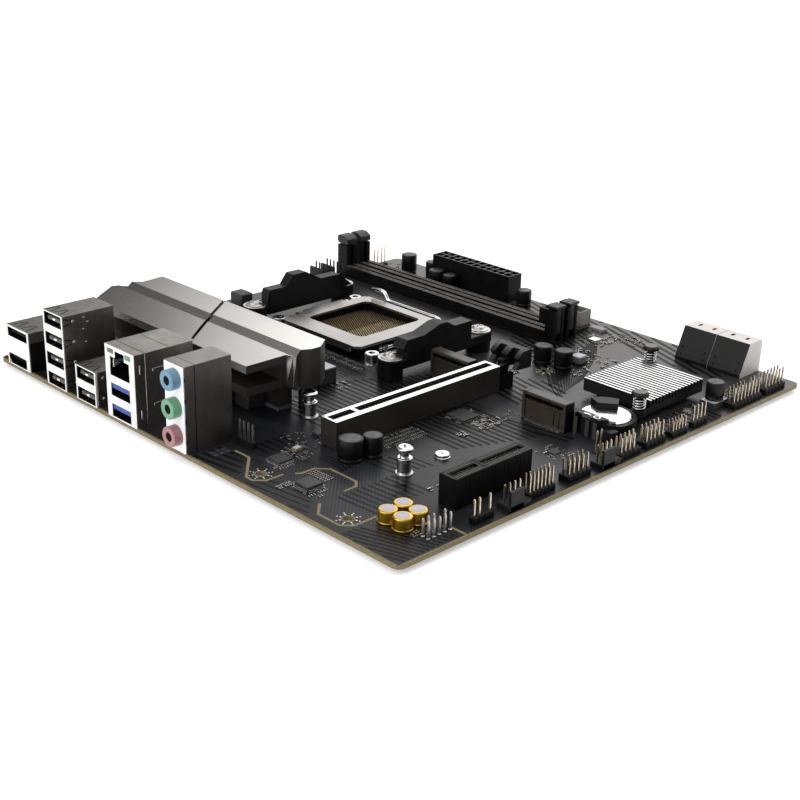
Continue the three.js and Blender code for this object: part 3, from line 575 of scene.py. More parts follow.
# ----------------------------------------------------------- camera and studio
cam_data = bpy.data.cameras.new("camera")
cam_data.sensor_width = 36.0
cam_data.lens = 60.416
cam_data.clip_start, cam_data.clip_end = 0.01, 50.0
cam = bpy.data.objects.new("camera", cam_data)
bpy.context.scene.collection.objects.link(cam)
_az, _el, _roll = math.radians(-134.79683), math.radians(22.20747), math.radians(1.51995)
_back = Vector((math.cos(_el) * math.cos(_az), math.cos(_el) * math.sin(_az), math.sin(_el)))
_fwd = -_back
_right = _fwd.cross(Vector((0, 0, 1))).normalized()
_up = _right.cross(_fwd)
_R = _right * math.cos(_roll) + _up * math.sin(_roll)
_U = -_right * math.sin(_roll) + _up * math.cos(_roll)
_C = Vector((-0.372085, -0.378428, 0.207053))
cam.matrix_world = Matrix(((_R.x, _U.x, _back.x, _C.x), (_R.y, _U.y, _back.y, _C.y), (_R.z, _U.z, _back.z, _C.z), (0, 0, 0, 1)))
bpy.context.scene.camera = cam


def sheet_mesh(name, size, n, z):
    me = bpy.data.meshes.new(name)
    vs = [((i / n - 0.5) * size, (j / n - 0.5) * size, z) for j in range(n + 1) for i in range(n + 1)]
    fs = [[j * (n + 1) + i, j * (n + 1) + i + 1, (j + 1) * (n + 1) + i + 1, (j + 1) * (n + 1) + i] for j in range(n) for i in range(n)]
    me.from_pydata(vs, [], fs)
    return me


floor = bpy.data.objects.new("floor", sheet_mesh("floor", 9.0, 4, 0.0))
floor.data.materials.append(floor_material())
bpy.context.scene.collection.objects.link(floor)


def area(name, where, aim, w, h, watts, tint=(1, 1, 1)):
    d = bpy.data.lights.new(name, "AREA")
    d.shape, d.size, d.size_y, d.energy, d.color = "RECTANGLE", w, h, watts, tint
    o = bpy.data.objects.new(name, d)
    o.location = where
    o.rotation_mode = "QUATERNION"
    o.rotation_quaternion = (Vector(aim) - Vector(where)).to_track_quat("-Z", "Y")
    bpy.context.scene.collection.objects.link(o)
    return o


area("key_back", (1.02, 0.66, 0.9), (0, 0, 0), 1.5, 1.0, 4.0)
area("side_left", (-1.15, 0.25, 0.55), (0, 0, 0.02), 0.9, 0.8, 4.5)
area("top_fill", (-0.1, -0.1, 1.5), (0, 0, 0), 1.4, 1.4, 1.6)
world = bpy.data.worlds.new("studio")
world.use_nodes = True
wn = world.node_tree
# soft wraparound walls: bright along X, dim along Y, so faces turned to Y stay dark
_tc = wn.nodes.new("ShaderNodeTexCoord")
_sx = wn.nodes.new("ShaderNodeSeparateXYZ")
wn.links.new(_tc.outputs["Generated"], _sx.inputs[0])


def wmath(op, a, b=0.0):
    n = wn.nodes.new("ShaderNodeMath")
    n.operation = op
    for i, v in enumerate((a, b)):
        if isinstance(v, (int, float)):
            n.inputs[i].default_value = v
        else:
            wn.links.new(v, n.inputs[i])
    return n.outputs[0]


_h = wmath("SUBTRACT", wmath("ABSOLUTE", _sx.outputs[0]), wmath("ABSOLUTE", _sx.outputs[1]))
_mr = wn.nodes.new("ShaderNodeMapRange")
_mr.interpolation_type = "SMOOTHSTEP"
for _i, _v in enumerate((-0.30, -0.03, 0.26, 1.25)):
    _mr.inputs[_i + 1].default_value = _v
wn.links.new(_h, _mr.inputs[0])
wn.links.new(_mr.outputs[0], wn.nodes["Background"].inputs[1])
wn.nodes["Background"].inputs[0].default_value = (1.0, 0.985, 0.97, 1)
bpy.context.scene.world = world
bpy.context.scene.view_settings.view_transform = "Standard"
bpy.context.scene.view_settings.look = "None"
bpy.context.scene.view_settings.exposure = 0.0

# ----------------------------------------------------- CAD nodes: their finish
dress("pcb", "pcb", bevel=0.08, seg=1)
dress("socket_backplate", "plate", 0.25)
dress("socket_body", ["black", "m2"], 0.15)
dress("socket_frame", "steel", 0.15)
dress("load_plate", "plate_steel", 0.18, 3)
dress("socket_lever", "steel", 0, angle=60, smooth=60)
dress("cooler_bracket_near", "black_sheen", 0.14, 1, smooth=14)
dress("cooler_bracket_far", "black_sheen", 0.14, 1, smooth=14)
for i in range(1, 5):
    dress(f"bracket_screw_{i}", "bolt", 0.1, smooth=50)
# faces turned to -Y or lower than 20.5 mm take the darker aluminium copy: painted shade
dress("vrm_heatsink", ["alu", "alu_shaded"], 0, merge=False, pick=lambda c, n: 1 if n.y < -0.25 or c[2] < 20.5 else 0)
dress("vrm_thermal_pad", "pad", 0.1)
dress("network_usb_housing", ["nickel", "black"], 0, merge=False, pick=lambda c, n: 1 if inside(c, (0.4, 26.0, 142.0, 158.8, 0.3, 29.0)) else 0)
dress("usb_stack_4", ["nickel", "black"], 0.12, pick=lambda c, n: 1 if inside(c, (0.3, 23.2, 190.6, 204.2, 0.2, 31.3)) else 0)
dress("usb_stack_2", ["nickel", "black"], 0.12, pick=lambda c, n: 1 if inside(c, (0.3, 14.2, 168.6, 182.0, 0.2, 14.3)) else 0)
dress("video_port_stack", ["nickel", "black"], 0.12, pick=lambda c, n: 1 if inside(c, (0.3, 21.7, 218.6, 235.4, 0.2, 16.9)) else 0)
for n in ("usb_tongue_upper", "usb_tongue_lower"):
    dress(n, "blue", 0.15)
dress("audio_jack_housing", "audio", 0.12, 1)
for c in ("blue", "green", "pink"):
    dress(f"audio_jack_{c}", f"jack_{c}", 0.35, 3, smooth=50)
for i in (1, 2):
    dress(f"dimm_slot_{i}", "black", 0.15)
    dress(f"dimm_latch_near_{i}", "latch", 0.3, 3)
    dress(f"dimm_latch_far_{i}", "latch", 0.45, 3)
    dress(f"m2_socket_{i}", ["black", "m2"], 0.12, pick=lambda c, n: 1 if n.x < -0.5 else 0)
    dress(f"m2_standoff_{i}", "steel_x", 0.12, smooth=50)
    dress(f"m2_screw_{i}", "steel_x", 0.12, smooth=50)
    # upward faces of the push pins take the grey copy: painted sheen
    dress(f"push_pin_{i}", ["latch", "pin_head"], 0.25, 3, smooth=50, pick=lambda c, n: 1 if n.z > 0.9 else 0)
    dress(f"pin_spring_{i}", "spring", 0, smooth=60)
    dress(f"sata_ports_{i}", ["sata_grey", "black_sheen"], 0, merge=False, pick=lambda c, n: 1 if n.x < -0.4 and c[0] < 228 else 0)
dress("x16_slot_body", "black", 0.12)
# side and front-end faces of the shell take the darker copy, a painted shade; the top keeps the bright steel
dress("x16_slot_shell", ["steel_x", "shell_side"], 0.12, pick=lambda c, n: 1 if abs(n.y) > 0.7 or n.x < -0.7 else 0)
dress("x16_slot_latch", "latch", 0.5, 3)
dress("x4_slot", "black", 0.15)
dress("chipset", "chip", 0.12)
# upward faces above 7.5 mm take the bright fin_top copy and all others the near-black one: painted light on the tops,
# painted shade on the sides and gaps
dress("chipset_heatsink", ["alu_dark", "fin_top"], 0.16, pick=lambda c, n: 1 if n.z > 0.9 and c[2] > 7.5 else 0)
dress("battery_holder", "black_sheen", 0.25)
dress("coin_cell", "coin", 0.35, 3, smooth=50)
dress("atx_power_24", "black", 0.15)
dress("cpu_power_8", "black", 0.15)
for i in range(1, 5):
    dress(f"audio_capacitor_{i}", "gold_can", 0.35, 3, smooth=50)


# ------------------------------------------------------------ small part makers
def smd(g, x, y, l=1.0, w=0.5, h=0.4, deg=0, cap=0, body=1):
    """A chip resistor or capacitor: a ceramic body between two tinned ends."""
    t = (deg, x, y)
    e = l * 0.24
    g.box(x - l / 2, x - l / 2 + e, y - w / 2, y + w / 2, -0.02, h, cap, 0.04, t)
    g.box(x + l / 2 - e, x + l / 2, y - w / 2, y + w / 2, -0.02, h, cap, 0.04, t)
    g.box(x - l / 2 + e * 0.9, x + l / 2 - e * 0.9, y - w * 0.46, y + w * 0.46, -0.02, h * 0.94, body, 0.03, t)


def field(g, x0, x1, y0, y1, n, big=0.25, pitch=1.45, r=None):
    """A patch of small parts on a loose grid, some turned, a few larger."""
    r = r or rng
    cells = [(x0 + pitch * (i + 0.5), y0 + pitch * (j + 0.5)) for i in range(int((x1 - x0) / pitch)) for j in range(int((y1 - y0) / pitch))]
    r.shuffle(cells)
    for x, y in cells[:n]:
        b = r.random() < big
        smd(g, x + r.uniform(-0.1, 0.1), y + r.uniform(-0.1, 0.1), 1.35 if b else 1.0, 0.75 if b else 0.5,
            0.6 if b else 0.36, r.choice((0, 90)), 0, r.choice((1, 1, 2)))


def flat_pack(g, x, y, s, h, n, deg=0, body=0, lead=1, sides=4, w=None, ll=0.9):
    """A leaded flat package; s is its body along X, w along Y."""
    w = w or s
    g.box(x - s / 2, x + s / 2, y - w / 2, y + w / 2, 0.08, h, body, 0.12, (deg, x, y))
    g.lathe([(0, h - 0.02), (0.28, h - 0.02), (0.28, h + 0.015), (0, h + 0.015)], *rot((x - s / 2 + 0.8, y - w / 2 + 0.8, 0), deg, x, y)[:2], n=10, m=body)
    for k in range(sides):
        a = deg + (90 * k if sides == 4 else 180 * k)
        half, run = (s / 2, w) if (k % 2 == 0 or sides == 2) else (w / 2, s)
        p = (run - 0.7) / (n - 1)
        lw = min(0.4, p * 0.5)
        for i in range(n):
            c = -run / 2 + 0.35 + p * i
            g.box(x + half - 0.05, x + half + ll * 0.45, y + c - lw / 2, y + c + lw / 2, h * 0.35, h * 0.35 + 0.13, lead, 0.02, (a, x, y))
            g.box(x + half + ll * 0.36, x + half + ll * 0.5, y + c - lw / 2, y + c + lw / 2, 0.0, h * 0.35 + 0.12, lead, 0.02, (a, x, y))
            g.box(x + half + ll * 0.4, x + half + ll, y + c - lw / 2, y + c + lw / 2, -0.02, 0.12, lead, 0.02, (a, x, y))


def no_lead(g, x, y, s, h, n, deg=0, body=0, pad=1, w=None):
    """A leadless package with its pads just showing round the foot."""
    w = w or s
    g.box(x - s / 2, x + s / 2, y - w / 2, y + w / 2, 0.0, h, body, 0.06, (deg, x, y))
    for k in range(4):
        half, run = (s / 2, w) if k % 2 == 0 else (w / 2, s)
        p = (run - 0.8) / (n - 1)
        for i in range(n):
            c = -run / 2 + 0.4 + p * i
            g.box(x + half - 0.1, x + half + 0.28, y + c - p * 0.28, y + c + p * 0.28, -0.02, 0.14, pad, 0.02, (deg + 90 * k, x, y))


def can(g, x, y, r, h, z=0.0, sleeve=0, top=1, n=28):
    """A radial capacitor: rubber foot, sleeve with a rolled neck, scored top."""
    g.lathe([(0, z), (r * 0.9, z), (r * 0.93, z + 0.35), (r, z + 0.55), (r, z + 1.1), (r * 0.93, z + 1.45), (r, z + 1.85), (r, z + h - 0.45),
             (r * 0.97, z + h - 0.15), (r * 0.9, z + h), (r * 0.84, z + h), (r * 0.82, z + h - 0.12), (0, z + h - 0.12)], x, y, n, sleeve)
    g.lathe([(0, z + h - 0.2), (r * 0.815, z + h - 0.2), (r * 0.815, z + h - 0.05), (r * 0.78, z + h - 0.02), (0, z + h - 0.02)], x, y, n, top)
    for a in (35, 125):
        g.box(x - r * 0.55, x + r * 0.55, y - 0.06, y + 0.06, z + h - 0.06, z + h, sleeve, 0.02, (a, x, y))


def pins_on(g, x0, y0, nx, ny, p=2.54, top=8.6, base=2.3, w=0.54, skip=(), b=0, pin=1, foot=-0.02, rows=True):
    """A pin header: a notched base, one cell a pin, with square posts."""
    for i in range(nx):
        x = x0 + p * i
        if base:
            hw, ch = p / 2, p * 0.14
            y_lo, y_hi = y0 - p / 2, y0 + p * (ny - 1) + p / 2
            g.prism([(x - hw, y_lo + ch), (x - hw + ch, y_lo), (x + hw - ch, y_lo), (x + hw, y_lo + ch), (x + hw, y_hi - ch), (x + hw - ch, y_hi),
                     (x - hw + ch, y_hi), (x - hw, y_hi - ch)], foot, base, "z", b)
        for j in range(ny):
            if (i, j) not in skip:
                g.pin(x, y0 + p * j, max(0.0, base - 0.2), top, w, pin)


def wall_header(g, x0, y0, n, bx, by, wall, top=8.6, base=2.2, b=0, pin=1):
    """A fan header: a plate, four posts and a locking wall on the edge side."""
    g.box(bx[0], bx[1], by[0], by[1], -0.02, base, b, 0.18)
    g.prism([(by[0], 0.1), (by[0] + 1.1, 0.1), (by[0] + 1.1, wall[2] - 0.9), (by[0] + 1.5, wall[2] - 0.6), (by[0] + 1.5, wall[2] - 0.2), (by[0] + 1.1, wall[2]), (by[0], wall[2])], wall[0], wall[1], "x", b)
    for i in range(n):
        g.pin(x0 + 2.54 * i, y0, base - 0.2, top, 0.64, pin)


def bar_y(g, x0, z0, x1, z1, w, y_lo, y_hi, m):
    """A thin bar drawn on a face that looks along Y."""
    ux, uz = unit(x1 - x0, z1 - z0)
    nx, nz = -uz * w / 2, ux * w / 2
    g.prism([(x0 + nx, z0 + nz), (x0 - nx, z0 - nz), (x1 - nx, z1 - nz), (x1 + nx, z1 + nz)], y_lo, y_hi, "y", m)


def clip(poly, px, py, dx, dy):
    """The part of a line inside a convex outline."""
    lo, hi = -1e9, 1e9
    n = len(poly)
    area_ = sum(poly[i][0] * poly[(i + 1) % n][1] - poly[(i + 1) % n][0] * poly[i][1] for i in range(n))
    pts = poly if area_ > 0 else poly[::-1]
    for i in range(n):
        ax, ay = pts[i]
        bx_, by_ = pts[(i + 1) % n]
        ex, ey = bx_ - ax, by_ - ay
        den = ex * dy - ey * dx
        num = -(ex * (py - ay) - ey * (px - ax))
        if abs(den) < 1e-9:
            if num > 0:
                return None
        elif den > 0:
            lo = max(lo, num / den)
        else:
            hi = min(hi, num / den)
    return ((px + dx * lo, py + dy * lo), (px + dx * hi, py + dy * hi)) if hi - lo > 0.8 else None


def hatch(g, poly, deg, pitch, w, m=0, z=0.035, phase=0.0):
    """Parallel tracks at deg from X, cut to an outline."""
    a = math.radians(deg)
    dx, dy = math.cos(a), math.sin(a)
    nx, ny = -dy, dx
    ds = [p[0] * nx + p[1] * ny for p in poly]
    k = math.floor(min(ds) / pitch)
    while k * pitch < max(ds):
        d = (k + phase) * pitch
        s = clip(poly, nx * d, ny * d, dx, dy)
        if s:
            g.strip([s[0], s[1]], w, -0.05, z, m)
        k += 1


# ------------------------------------------------------------------ board face
g = G()
hatch(g, [(1.6, 1.5), (30.6, 1.5), (30.6, 9), (17.5, 27.5), (8.3, 27.8), (1.6, 36)], 108, 2.1, 1.0)
hatch(g, [(1.6, 84), (4.0, 84), (14.6, 95), (14.6, 108), (1.6, 108)], 98.7, 3.6, 1.5)
hatch(g, [(22, 92), (37, 92), (37, 101), (22, 101)], 90, 3.3, 1.5)
hatch(g, [(17.5, 31), (45, 31), (45, 48.5), (17.5, 48.5)], 95, 2.8, 0.95)
hatch(g, [(45, 30), (58, 30), (64, 40), (62, 56), (54, 61), (38.5, 61), (34, 52), (45, 49)], 95, 2.8, 0.8)
hatch(g, [(2, 45), (8, 50), (12, 58), (12, 72), (2, 80)], 98, 3.2, 0.7)
hatch(g, [(33.2, 63.3), (38.6, 63.3), (38.6, 76), (33.2, 76)], 90, 1.9, 0.55)
g.strip([(32.4, 63.3), (38.8, 63.3)], 0.7, -0.05, 0.035)
g.strip([(31.8, 36.7), (39.4, 36.7)], 0.5, -0.05, 0.035)
g.prism([(39.2, 36.4), (43.2, 39.9), (39.2, 43.0)], -0.05, 0.035, "z", 0)
hatch(g, [(77, 26), (112, 26), (112, 76.5), (62, 76.5), (62, 55), (77, 49)], 90, 3.0, 1.35)
hatch(g, [(53, 86), (130, 86), (130, 107), (92, 128), (66, 128), (53, 118)], 90, 3.0, 1.3)
hatch(g, [(112, 26), (120, 26), (112, 60)], 99, 3.0, 1.2)
hatch(g, [(128, 60), (150, 56), (158, 66), (150, 84), (128, 84)], 78, 3.4, 1.4)
hatch(g, [(143, 97), (190, 97), (190, 104), (168, 127), (168, 112), (143, 106)], 8, 2.4, 1.0)
hatch(g, [(170, 128), (190.5, 128), (190.5, 234), (170, 234)], 4, 2.0, 0.5)
hatch(g, [(72, 222), (101, 222), (101, 130), (72, 130)], 90, 2.2, 0.5)
hatch(g, [(110, 216), (165, 216), (165, 236), (110, 236)], 62, 2.8, 0.6)
for i in range(15):                                   # long bent tracks across the right of the board
    o = 3.9 * i
    run = [(146 + o * 0.42, 57.5 + o * 0.10), (153 + o * 0.72, 67 + o * 0.15), (163 + o * 0.98, 77 + o * 0.28), (172 + o * 1.02, 96 + o * 0.5), (176 + o * 1.0, 112 + o * 0.6)][: 5 if o < 30 else 4]
    g.strip(run[:2], 0.55, -0.05, 0.035)
    g.strip(run[1:], 1.45, -0.05, 0.035)
hatch(g, [(212, 26), (235, 26), (235, 100), (226, 100), (212, 60)], 70, 3.9, 1.7)
hatch(g, [(209, 100), (235, 104), (235, 150), (209, 150)], 72, 3.6, 1.5)
hatch(g, [(148, 2), (180, 2), (180, 17), (148, 17)], 90, 3.1, 1.2)
piece("board_tracks", g, ["relief"])

g = G()
for path in ([(15.6, 101.7), (15.6, 93.4), (4.8, 81.3), (4.8, 77.7), (8.3, 74.5), (15.8, 74.5)],
             [(19.4, 72.4), (21.3, 70.9), (27.2, 70.9), (31.2, 66.9), (31.2, 53.3), (28.6, 50.5), (23.0, 50.5)],
             [(10.4, 48.8), (5.0, 43.3), (5.0, 32.7), (8.3, 29.3), (18.3, 29.3)],
             [(31.3, 7.5), (31.3, 0.9)]):
    g.strip(path, 1.05, -0.05, 0.04, 0)
for hx, hy in ((10.16, 80.01), (10.16, 34.29), (165.1, 80.01), (33.02, 237.49), (165.1, 237.49)):
    g.ring(hx, hy, 2.0, 2.45, -0.05, 0.045, 28, 0)
piece("ground_lines", g, ["tan"])

g = G()
for hx, hy in ((10.16, 80.01), (10.16, 34.29), (165.1, 80.01), (33.02, 237.49), (165.1, 237.49)):
    for k in range(8):
        a = math.pi * (k + 0.5) / 4
        for r, s in ((3.0, 0.42), (4.15, 0.36)):
            g.lathe([(0, -0.03), (s, -0.03), (s, 0.07), (s * 0.6, 0.14), (0, 0.16)], hx + r * math.cos(a), hy + r * math.sin(a), 10, 0)
r2 = random.Random(41)
for _ in range(420):                                   # filled vias
    x, y = r2.uniform(3, 233), r2.uniform(3, 240)
    if min(math.hypot(x - a, y - b) for a, b in ((197.0, 49.5), (150.3, 20.8), (10.16, 80.01), (10.16, 34.29), (165.1, 80.01), (33.02, 237.49), (165.1, 237.49))) < 4.0:
        continue
    g.lathe([(0, -0.03), (0.2, -0.03), (0.2, 0.04), (0, 0.05)], x, y, 6, 1)
for i in range(3):
    for j in range(2):
        g.box(7.1 + 2.6 * i, 9.0 + 2.6 * i, 101.9 + 2.5 * j, 103.7 + 2.5 * j, -0.03, 0.16, 1, 0.05)
piece("solder_dots", g, ["tin", "trace"])

# ----------------------------------------------------------------- small parts
g = G()
r3 = random.Random(5)
for row in ((7.6, 66.3, 8, 0.95), (7.6, 68.0, 7, 0.95), (11.2, 54.9, 8, 1.1), (12.4, 52.6, 3, 1.2), (11.0, 57.4, 2, 5.0),
            (16.5, 80.2, 8, 1.05), (16.6, 78.3, 7, 1.15), (58.5, 66.3, 19, 1.12), (58.0, 68.6, 20, 1.12), (59.0, 71.2, 19, 1.15), (60.0, 73.8, 17, 1.18),
            (102.5, 55.6, 7, 1.15), (97.5, 58.6, 6, 1.25), (98.5, 61.2, 8, 1.15)):
    for i in range(row[2]):
        if r3.random() < 0.9:
            smd(g, row[0] + row[3] * i, row[1], 0.95, 0.5, 0.36, 90, 0, r3.choice((1, 1, 2)))
for cx in (23.0, 24.6, 26.2):
    for j in range(8):
        smd(g, cx, 60.4 + 1.2 * j, 0.95, 0.52, 0.38, 0, 0, r3.choice((1, 2)))
for box_ in ((28, 36, 78.5, 84.5, 14), (27, 33, 84, 92, 12), (86.5, 92, 54.5, 60, 8), (97, 108, 53.5, 63, 24), (95, 100, 64, 74, 10), (106.8, 110, 62, 74, 8),
             (17, 21.5, 10, 13.8, 8), (104, 107.2, 130, 165, 34), (84, 92, 120, 128, 9), (168, 182, 66, 74, 12), (186, 200, 66, 80, 26),
             (206, 219, 83, 97, 42), (219, 230, 72, 90, 30), (193, 200, 82, 92, 12), (150, 159, 86, 96, 14), (166, 182, 88, 98, 14), (97, 108, 17, 29, 26),
             (168, 182, 10.5, 17.5, 16), (192, 206, 7.5, 17, 20), (144, 158, 7, 16, 16), (110, 121, 55, 61, 10), (112, 124, 79, 84, 12), (205, 220, 208, 232, 46),
             (212, 230, 222, 240, 34), (120, 150, 218, 234, 60), (76, 100, 222, 232, 24), (208, 222, 142, 150, 12), (226, 234, 108, 118, 8), (52, 64, 120, 126, 12),
             (33, 46, 82, 100, 20), (60, 72, 84, 90, 12), (212, 220, 158, 168, 8), (45, 52, 30, 34, 5)):
    field(g, *box_[:4], box_[4], r=r3)
piece("chip_parts", g, ["tin", "cer_black", "cer_brown"])

g = G()
flat_pack(g, 16.4, 61.3, 7.2, 1.8, 12, 0, 0, 2)
flat_pack(g, 22.4, 84.2, 6.6, 1.2, 9, 0, 0, 2)
flat_pack(g, 224.4, 98.2, 3.9, 1.5, 8, 0, 1, 2, sides=2, w=7.6, ll=1.5)
flat_pack(g, 214, 116, 4.0, 1.4, 5, 0, 1, 2, sides=2, w=5.2, ll=1.1)
flat_pack(g, 48.5, 92, 4.0, 1.4, 5, 90, 0, 2, sides=2, w=5.2, ll=1.1)
no_lead(g, 102.0, 68.9, 9.4, 0.9, 16, 0, 0, 2)
no_lead(g, 102.3, 23.1, 4.0, 0.8, 8, 0, 0, 2)
no_lead(g, 212.4, 90.6, 4.4, 0.8, 9, 0, 4, 2)
no_lead(g, 173.7, 14.0, 3.0, 0.8, 6, 0, 4, 2)
no_lead(g, 128.5, 226, 5.0, 0.8, 10, 0, 1, 2)
no_lead(g, 140, 229, 4.0, 0.8, 8, 0, 1, 2)
g.box(182.0, 187.6, 75.2, 80.6, 0, 3.0, 1, 0.25)                       # small moulded coils and the clock
g.box(182.3, 187.3, 75.5, 80.3, 2.9, 3.08, 5, 0.04)
g.box(31.2, 34.4, 85.6, 88.2, 0, 1.25, 3, 0.12)
g.box(31.5, 34.1, 85.9, 87.9, 1.2, 1.42, 5, 0.05)
for i in range(6):                                                     # power stages beside the cooler
    y = 146 + 10.0 * i
    no_lead(g, 79.5, y, 5.0, 0.9, 8, 0, 0, 2)
    g.box(83.6, 92.6, y - 4.3, y + 4.3, 0, 6.4, 6, 0.5)
    g.box(84.6, 91.6, y - 3.4, y + 3.4, 6.3, 6.55, 6, 0.1)
g.box(79.2, 89.0, 128.2, 139.6, 0, 6.8, 6, 0.4)
# pale lid on this choke's top in the capacitor disc colour: a painted highlight on its top face
g.box(79.4, 88.8, 128.4, 139.4, 6.75, 7.0, 5, 0.05)
for i in range(4):
    g.box(42.5, 51.0, 128 + 12.2 * i, 136.6 + 12.2 * i, 0, 6.4, 6, 0.5)
g.box(115.5, 122.5, 225.6, 234.3, 0, 8.0, 6, 0.5)
g.box(181.9, 191.2, 6.6, 13.8, 0, 3.0, 0, 0.2)
g.box(182.1, 191.0, 6.8, 13.6, 2.9, 3.1, 5, 0.05)
piece("packages", g, ["chip", "chip_light", "tin", "tan", "fin_top", "can_white", "choke"])

g = G()
for x, y, r, h in ((41.9, 68.1, 4.8, 8.7), (50.3, 65.4, 3.85, 8.4), (172.4, 87.8, 4.0, 8.0), (174.2, 77.9, 4.0, 8.0),
                   (222.0, 220.8, 4.0, 9.8), (226.3, 207.8, 3.6, 8.0), (218.2, 197.0, 4.0, 7.6), (217.6, 187.4, 3.6, 7.4), (226.0, 145.2, 3.6, 8.0)):
    can(g, x, y, r, h, 0.0, 0, 1)
can(g, 186.6, 10.2, 3.7, 7.6, 3.05, 0, 1)
piece("capacitors", g, ["sleeve", "can_top"], smooth=42)
g = G()
for x, y in ((18.8, 24.5), (25.8, 24.5), (25.8, 17.5), (18.8, 17.5)):
    g.lathe([(0, 4.7), (2.5, 4.7), (2.5, 4.84), (2.36, 4.9), (0, 4.9)], x, y, 32, 0)
    g.ring(x, y, 3.2, 3.62, 0.25, 0.6, 32, 1, "z", 0.12)
piece("audio_capacitor_discs", g, ["can_white", "gold_can"], smooth=40)

g = G()
g.lathe([(0, 0), (3.0, 0), (3.0, 0.35), (2.75, 0.5), (2.75, 1.3), (2.55, 1.5), (0.7, 1.5), (0.7, 0.8), (0, 0.8)], 68.7, 47.9, 32, 0)
piece("nut_pad", g, ["steel_x"], smooth=35)

# --------------------------------------------------------------------- headers
g = G()
pins_on(g, 20.0, 6.95, 5, 2, 2.54, 6.4, 0, 0.66, skip=((3, 1),), pin=2)
for i in range(5):
    for j in range(2):
        if (i, j) != (3, 1):
            g.lathe([(0, -0.03), (0.75, -0.03), (0.7, 0.1), (0.36, 0.3), (0, 0.3)], 20 + 2.54 * i, 6.95 + 2.54 * j, 12, 2)
g.box(18.8, 31.4, 5.8, 10.6, -0.05, 0.03, 0, 0.01)
piece("audio_header_look", g, ["black", "gold_pin", "grey_pin"], replaces=("audio_header",))
g = G()
pins_on(g, 66.0, 4.0, 7, 2, 2.0, 9.2, 2.3, 0.52)
piece("pin_header_look", g, ["black", "gold_pin"], replaces=("pin_header",))
g = G()
wall_header(g, 54.7, 5.5, 4, (53.0, 64.0), (1.3, 7.4), (53.4, 60.0, 7.6))
piece("fan_header_look", g, ["header_grey", "gold_pin"], replaces=("fan_header",))
g = G()
pins_on(g, 38.8, 4.6, 4, 1, 2.54, 8.7, 2.4, 0.64, skip=((2, 0),))
pins_on(g, 87.2, 4.1, 5, 2, 2.54, 8.4, 2.3)
pins_on(g, 116.0, 3.2, 5, 2, 2.5, 8.6, 2.3, 0.58, skip=((4, 0),))
pins_on(g, 131.6, 3.3, 5, 2, 2.5, 8.7, 2.3, 0.58)
pins_on(g, 147.6, 2.7, 5, 2, 2.0, 6.6, 2.0, 0.5)
pins_on(g, 161.7, 3.2, 4, 1, 2.54, 8.9, 2.3, 0.58)
pins_on(g, 189.8, 3.0, 8, 2, 2.54, 9.0, 2.3, skip=((5, 1),))
pins_on(g, 213.4, 3.2, 6, 2, 2.54, 9.2, 2.5)
pins_on(g, 58.5, 17.6, 1, 3, 2.54, 2.4, 2.2)
piece("front_headers", g, ["black", "gold_pin"])
g = G()
wall_header(g, 104.5, 5.2, 4, (103.0, 114.0), (1.2, 7.2), (103.4, 110.0, 7.6))
pins_on(g, 114.5, 13.3, 2, 1, 2.54, 8.6, 0.4, 0.58)
pins_on(g, 22.0, 99.1, 1, 4, 2.54, 9.2, 2.3, 0.62, b=0, pin=2)
for x in (174.7, 182.0):                                               # fan headers set along the far edge
    g.box(x - 3.2, x + 2.6, 230.8, 242.0, -0.02, 2.4, 0, 0.18)
    g.box(x - 3.2, x - 2.1, 231.4, 241.4, 0.1, 8.4, 0, 0.15)
    for i in range(4):
        g.pin(x, 240.0 - 2.56 * i, 2.2, 10.8, 0.6, 4)
pins_on(g, 214.5, 239.4, 4, 1, 2.54, 10.0, 1.0)
g.box(218.2, 226.4, 104.4, 112.2, 0, 1.4, 3, 0.15)                    # open-topped shrouded header
for a in ((218.2, 219.0, 104.4, 112.2), (225.6, 226.4, 104.4, 112.2), (218.8, 225.8, 104.4, 105.2), (218.8, 225.8, 111.4, 112.2)):
    g.box(*a, 0.6, 8.4, 3, 0.12)
for i in range(4):
    for j in range(2):
        g.pin(220.2 + 1.4 * i, 107 + 2.0 * j, 1.0, 7.2, 0.5, 1)
piece("other_headers", g, ["header_grey", "gold_pin", "grey_pin", "grey", "dark_grey"])

# ----------------------------------------------------------------- rear fronts
def openings(g, y0, y1, z0, z1, holes, x0=-0.32, x1=0.02, m=0, c=0.03):
    """A front plate made of bars between its rectangular openings (given low to high)."""
    z = z0
    for a0, a1, b0, b1 in holes:
        g.box(x0, x1, y0, y1, z, b0, m, c)
        g.box(x0, x1, y0, a0, b0, b1, m, c)
        g.box(x0, x1, a1, y1, b0, b1, m, c)
        z = b1
    g.box(x0, x1, y0, y1, z, z1, m, c)


def usb_tongue(g, y0, y1, z0, m=1, cm=2):
    g.box(0.5, 9.2, y0 + 1.5, y1 - 1.5, z0 + 1.9, z0 + 3.5, m, 0.15)
    g.box(0.3, 0.7, y0 + 5.4, y1 - 5.4, z0 + 2.3, z0 + 3.2, 0, 0.1)
    w = (y1 - y0 - 4.0) / 4
    for i in range(4):
        g.box(0.8, 8.0, y0 + 2.0 + w * i + 0.35, y0 + 2.0 + w * (i + 1) - 0.35, z0 + 3.45, z0 + 3.6, cm, 0.03)
    for yy in (y0 + 3.2, y1 - 4.6):                                   # shell springs reaching in
        g.prism([(0.3, z0 + 0.0), (4.5, z0 + 0.75), (6.0, z0 + 0.35), (6.0, z0 + 0.2), (4.5, z0 + 0.55), (0.3, z0 - 0.1)], yy, yy + 1.4, "y", cm)


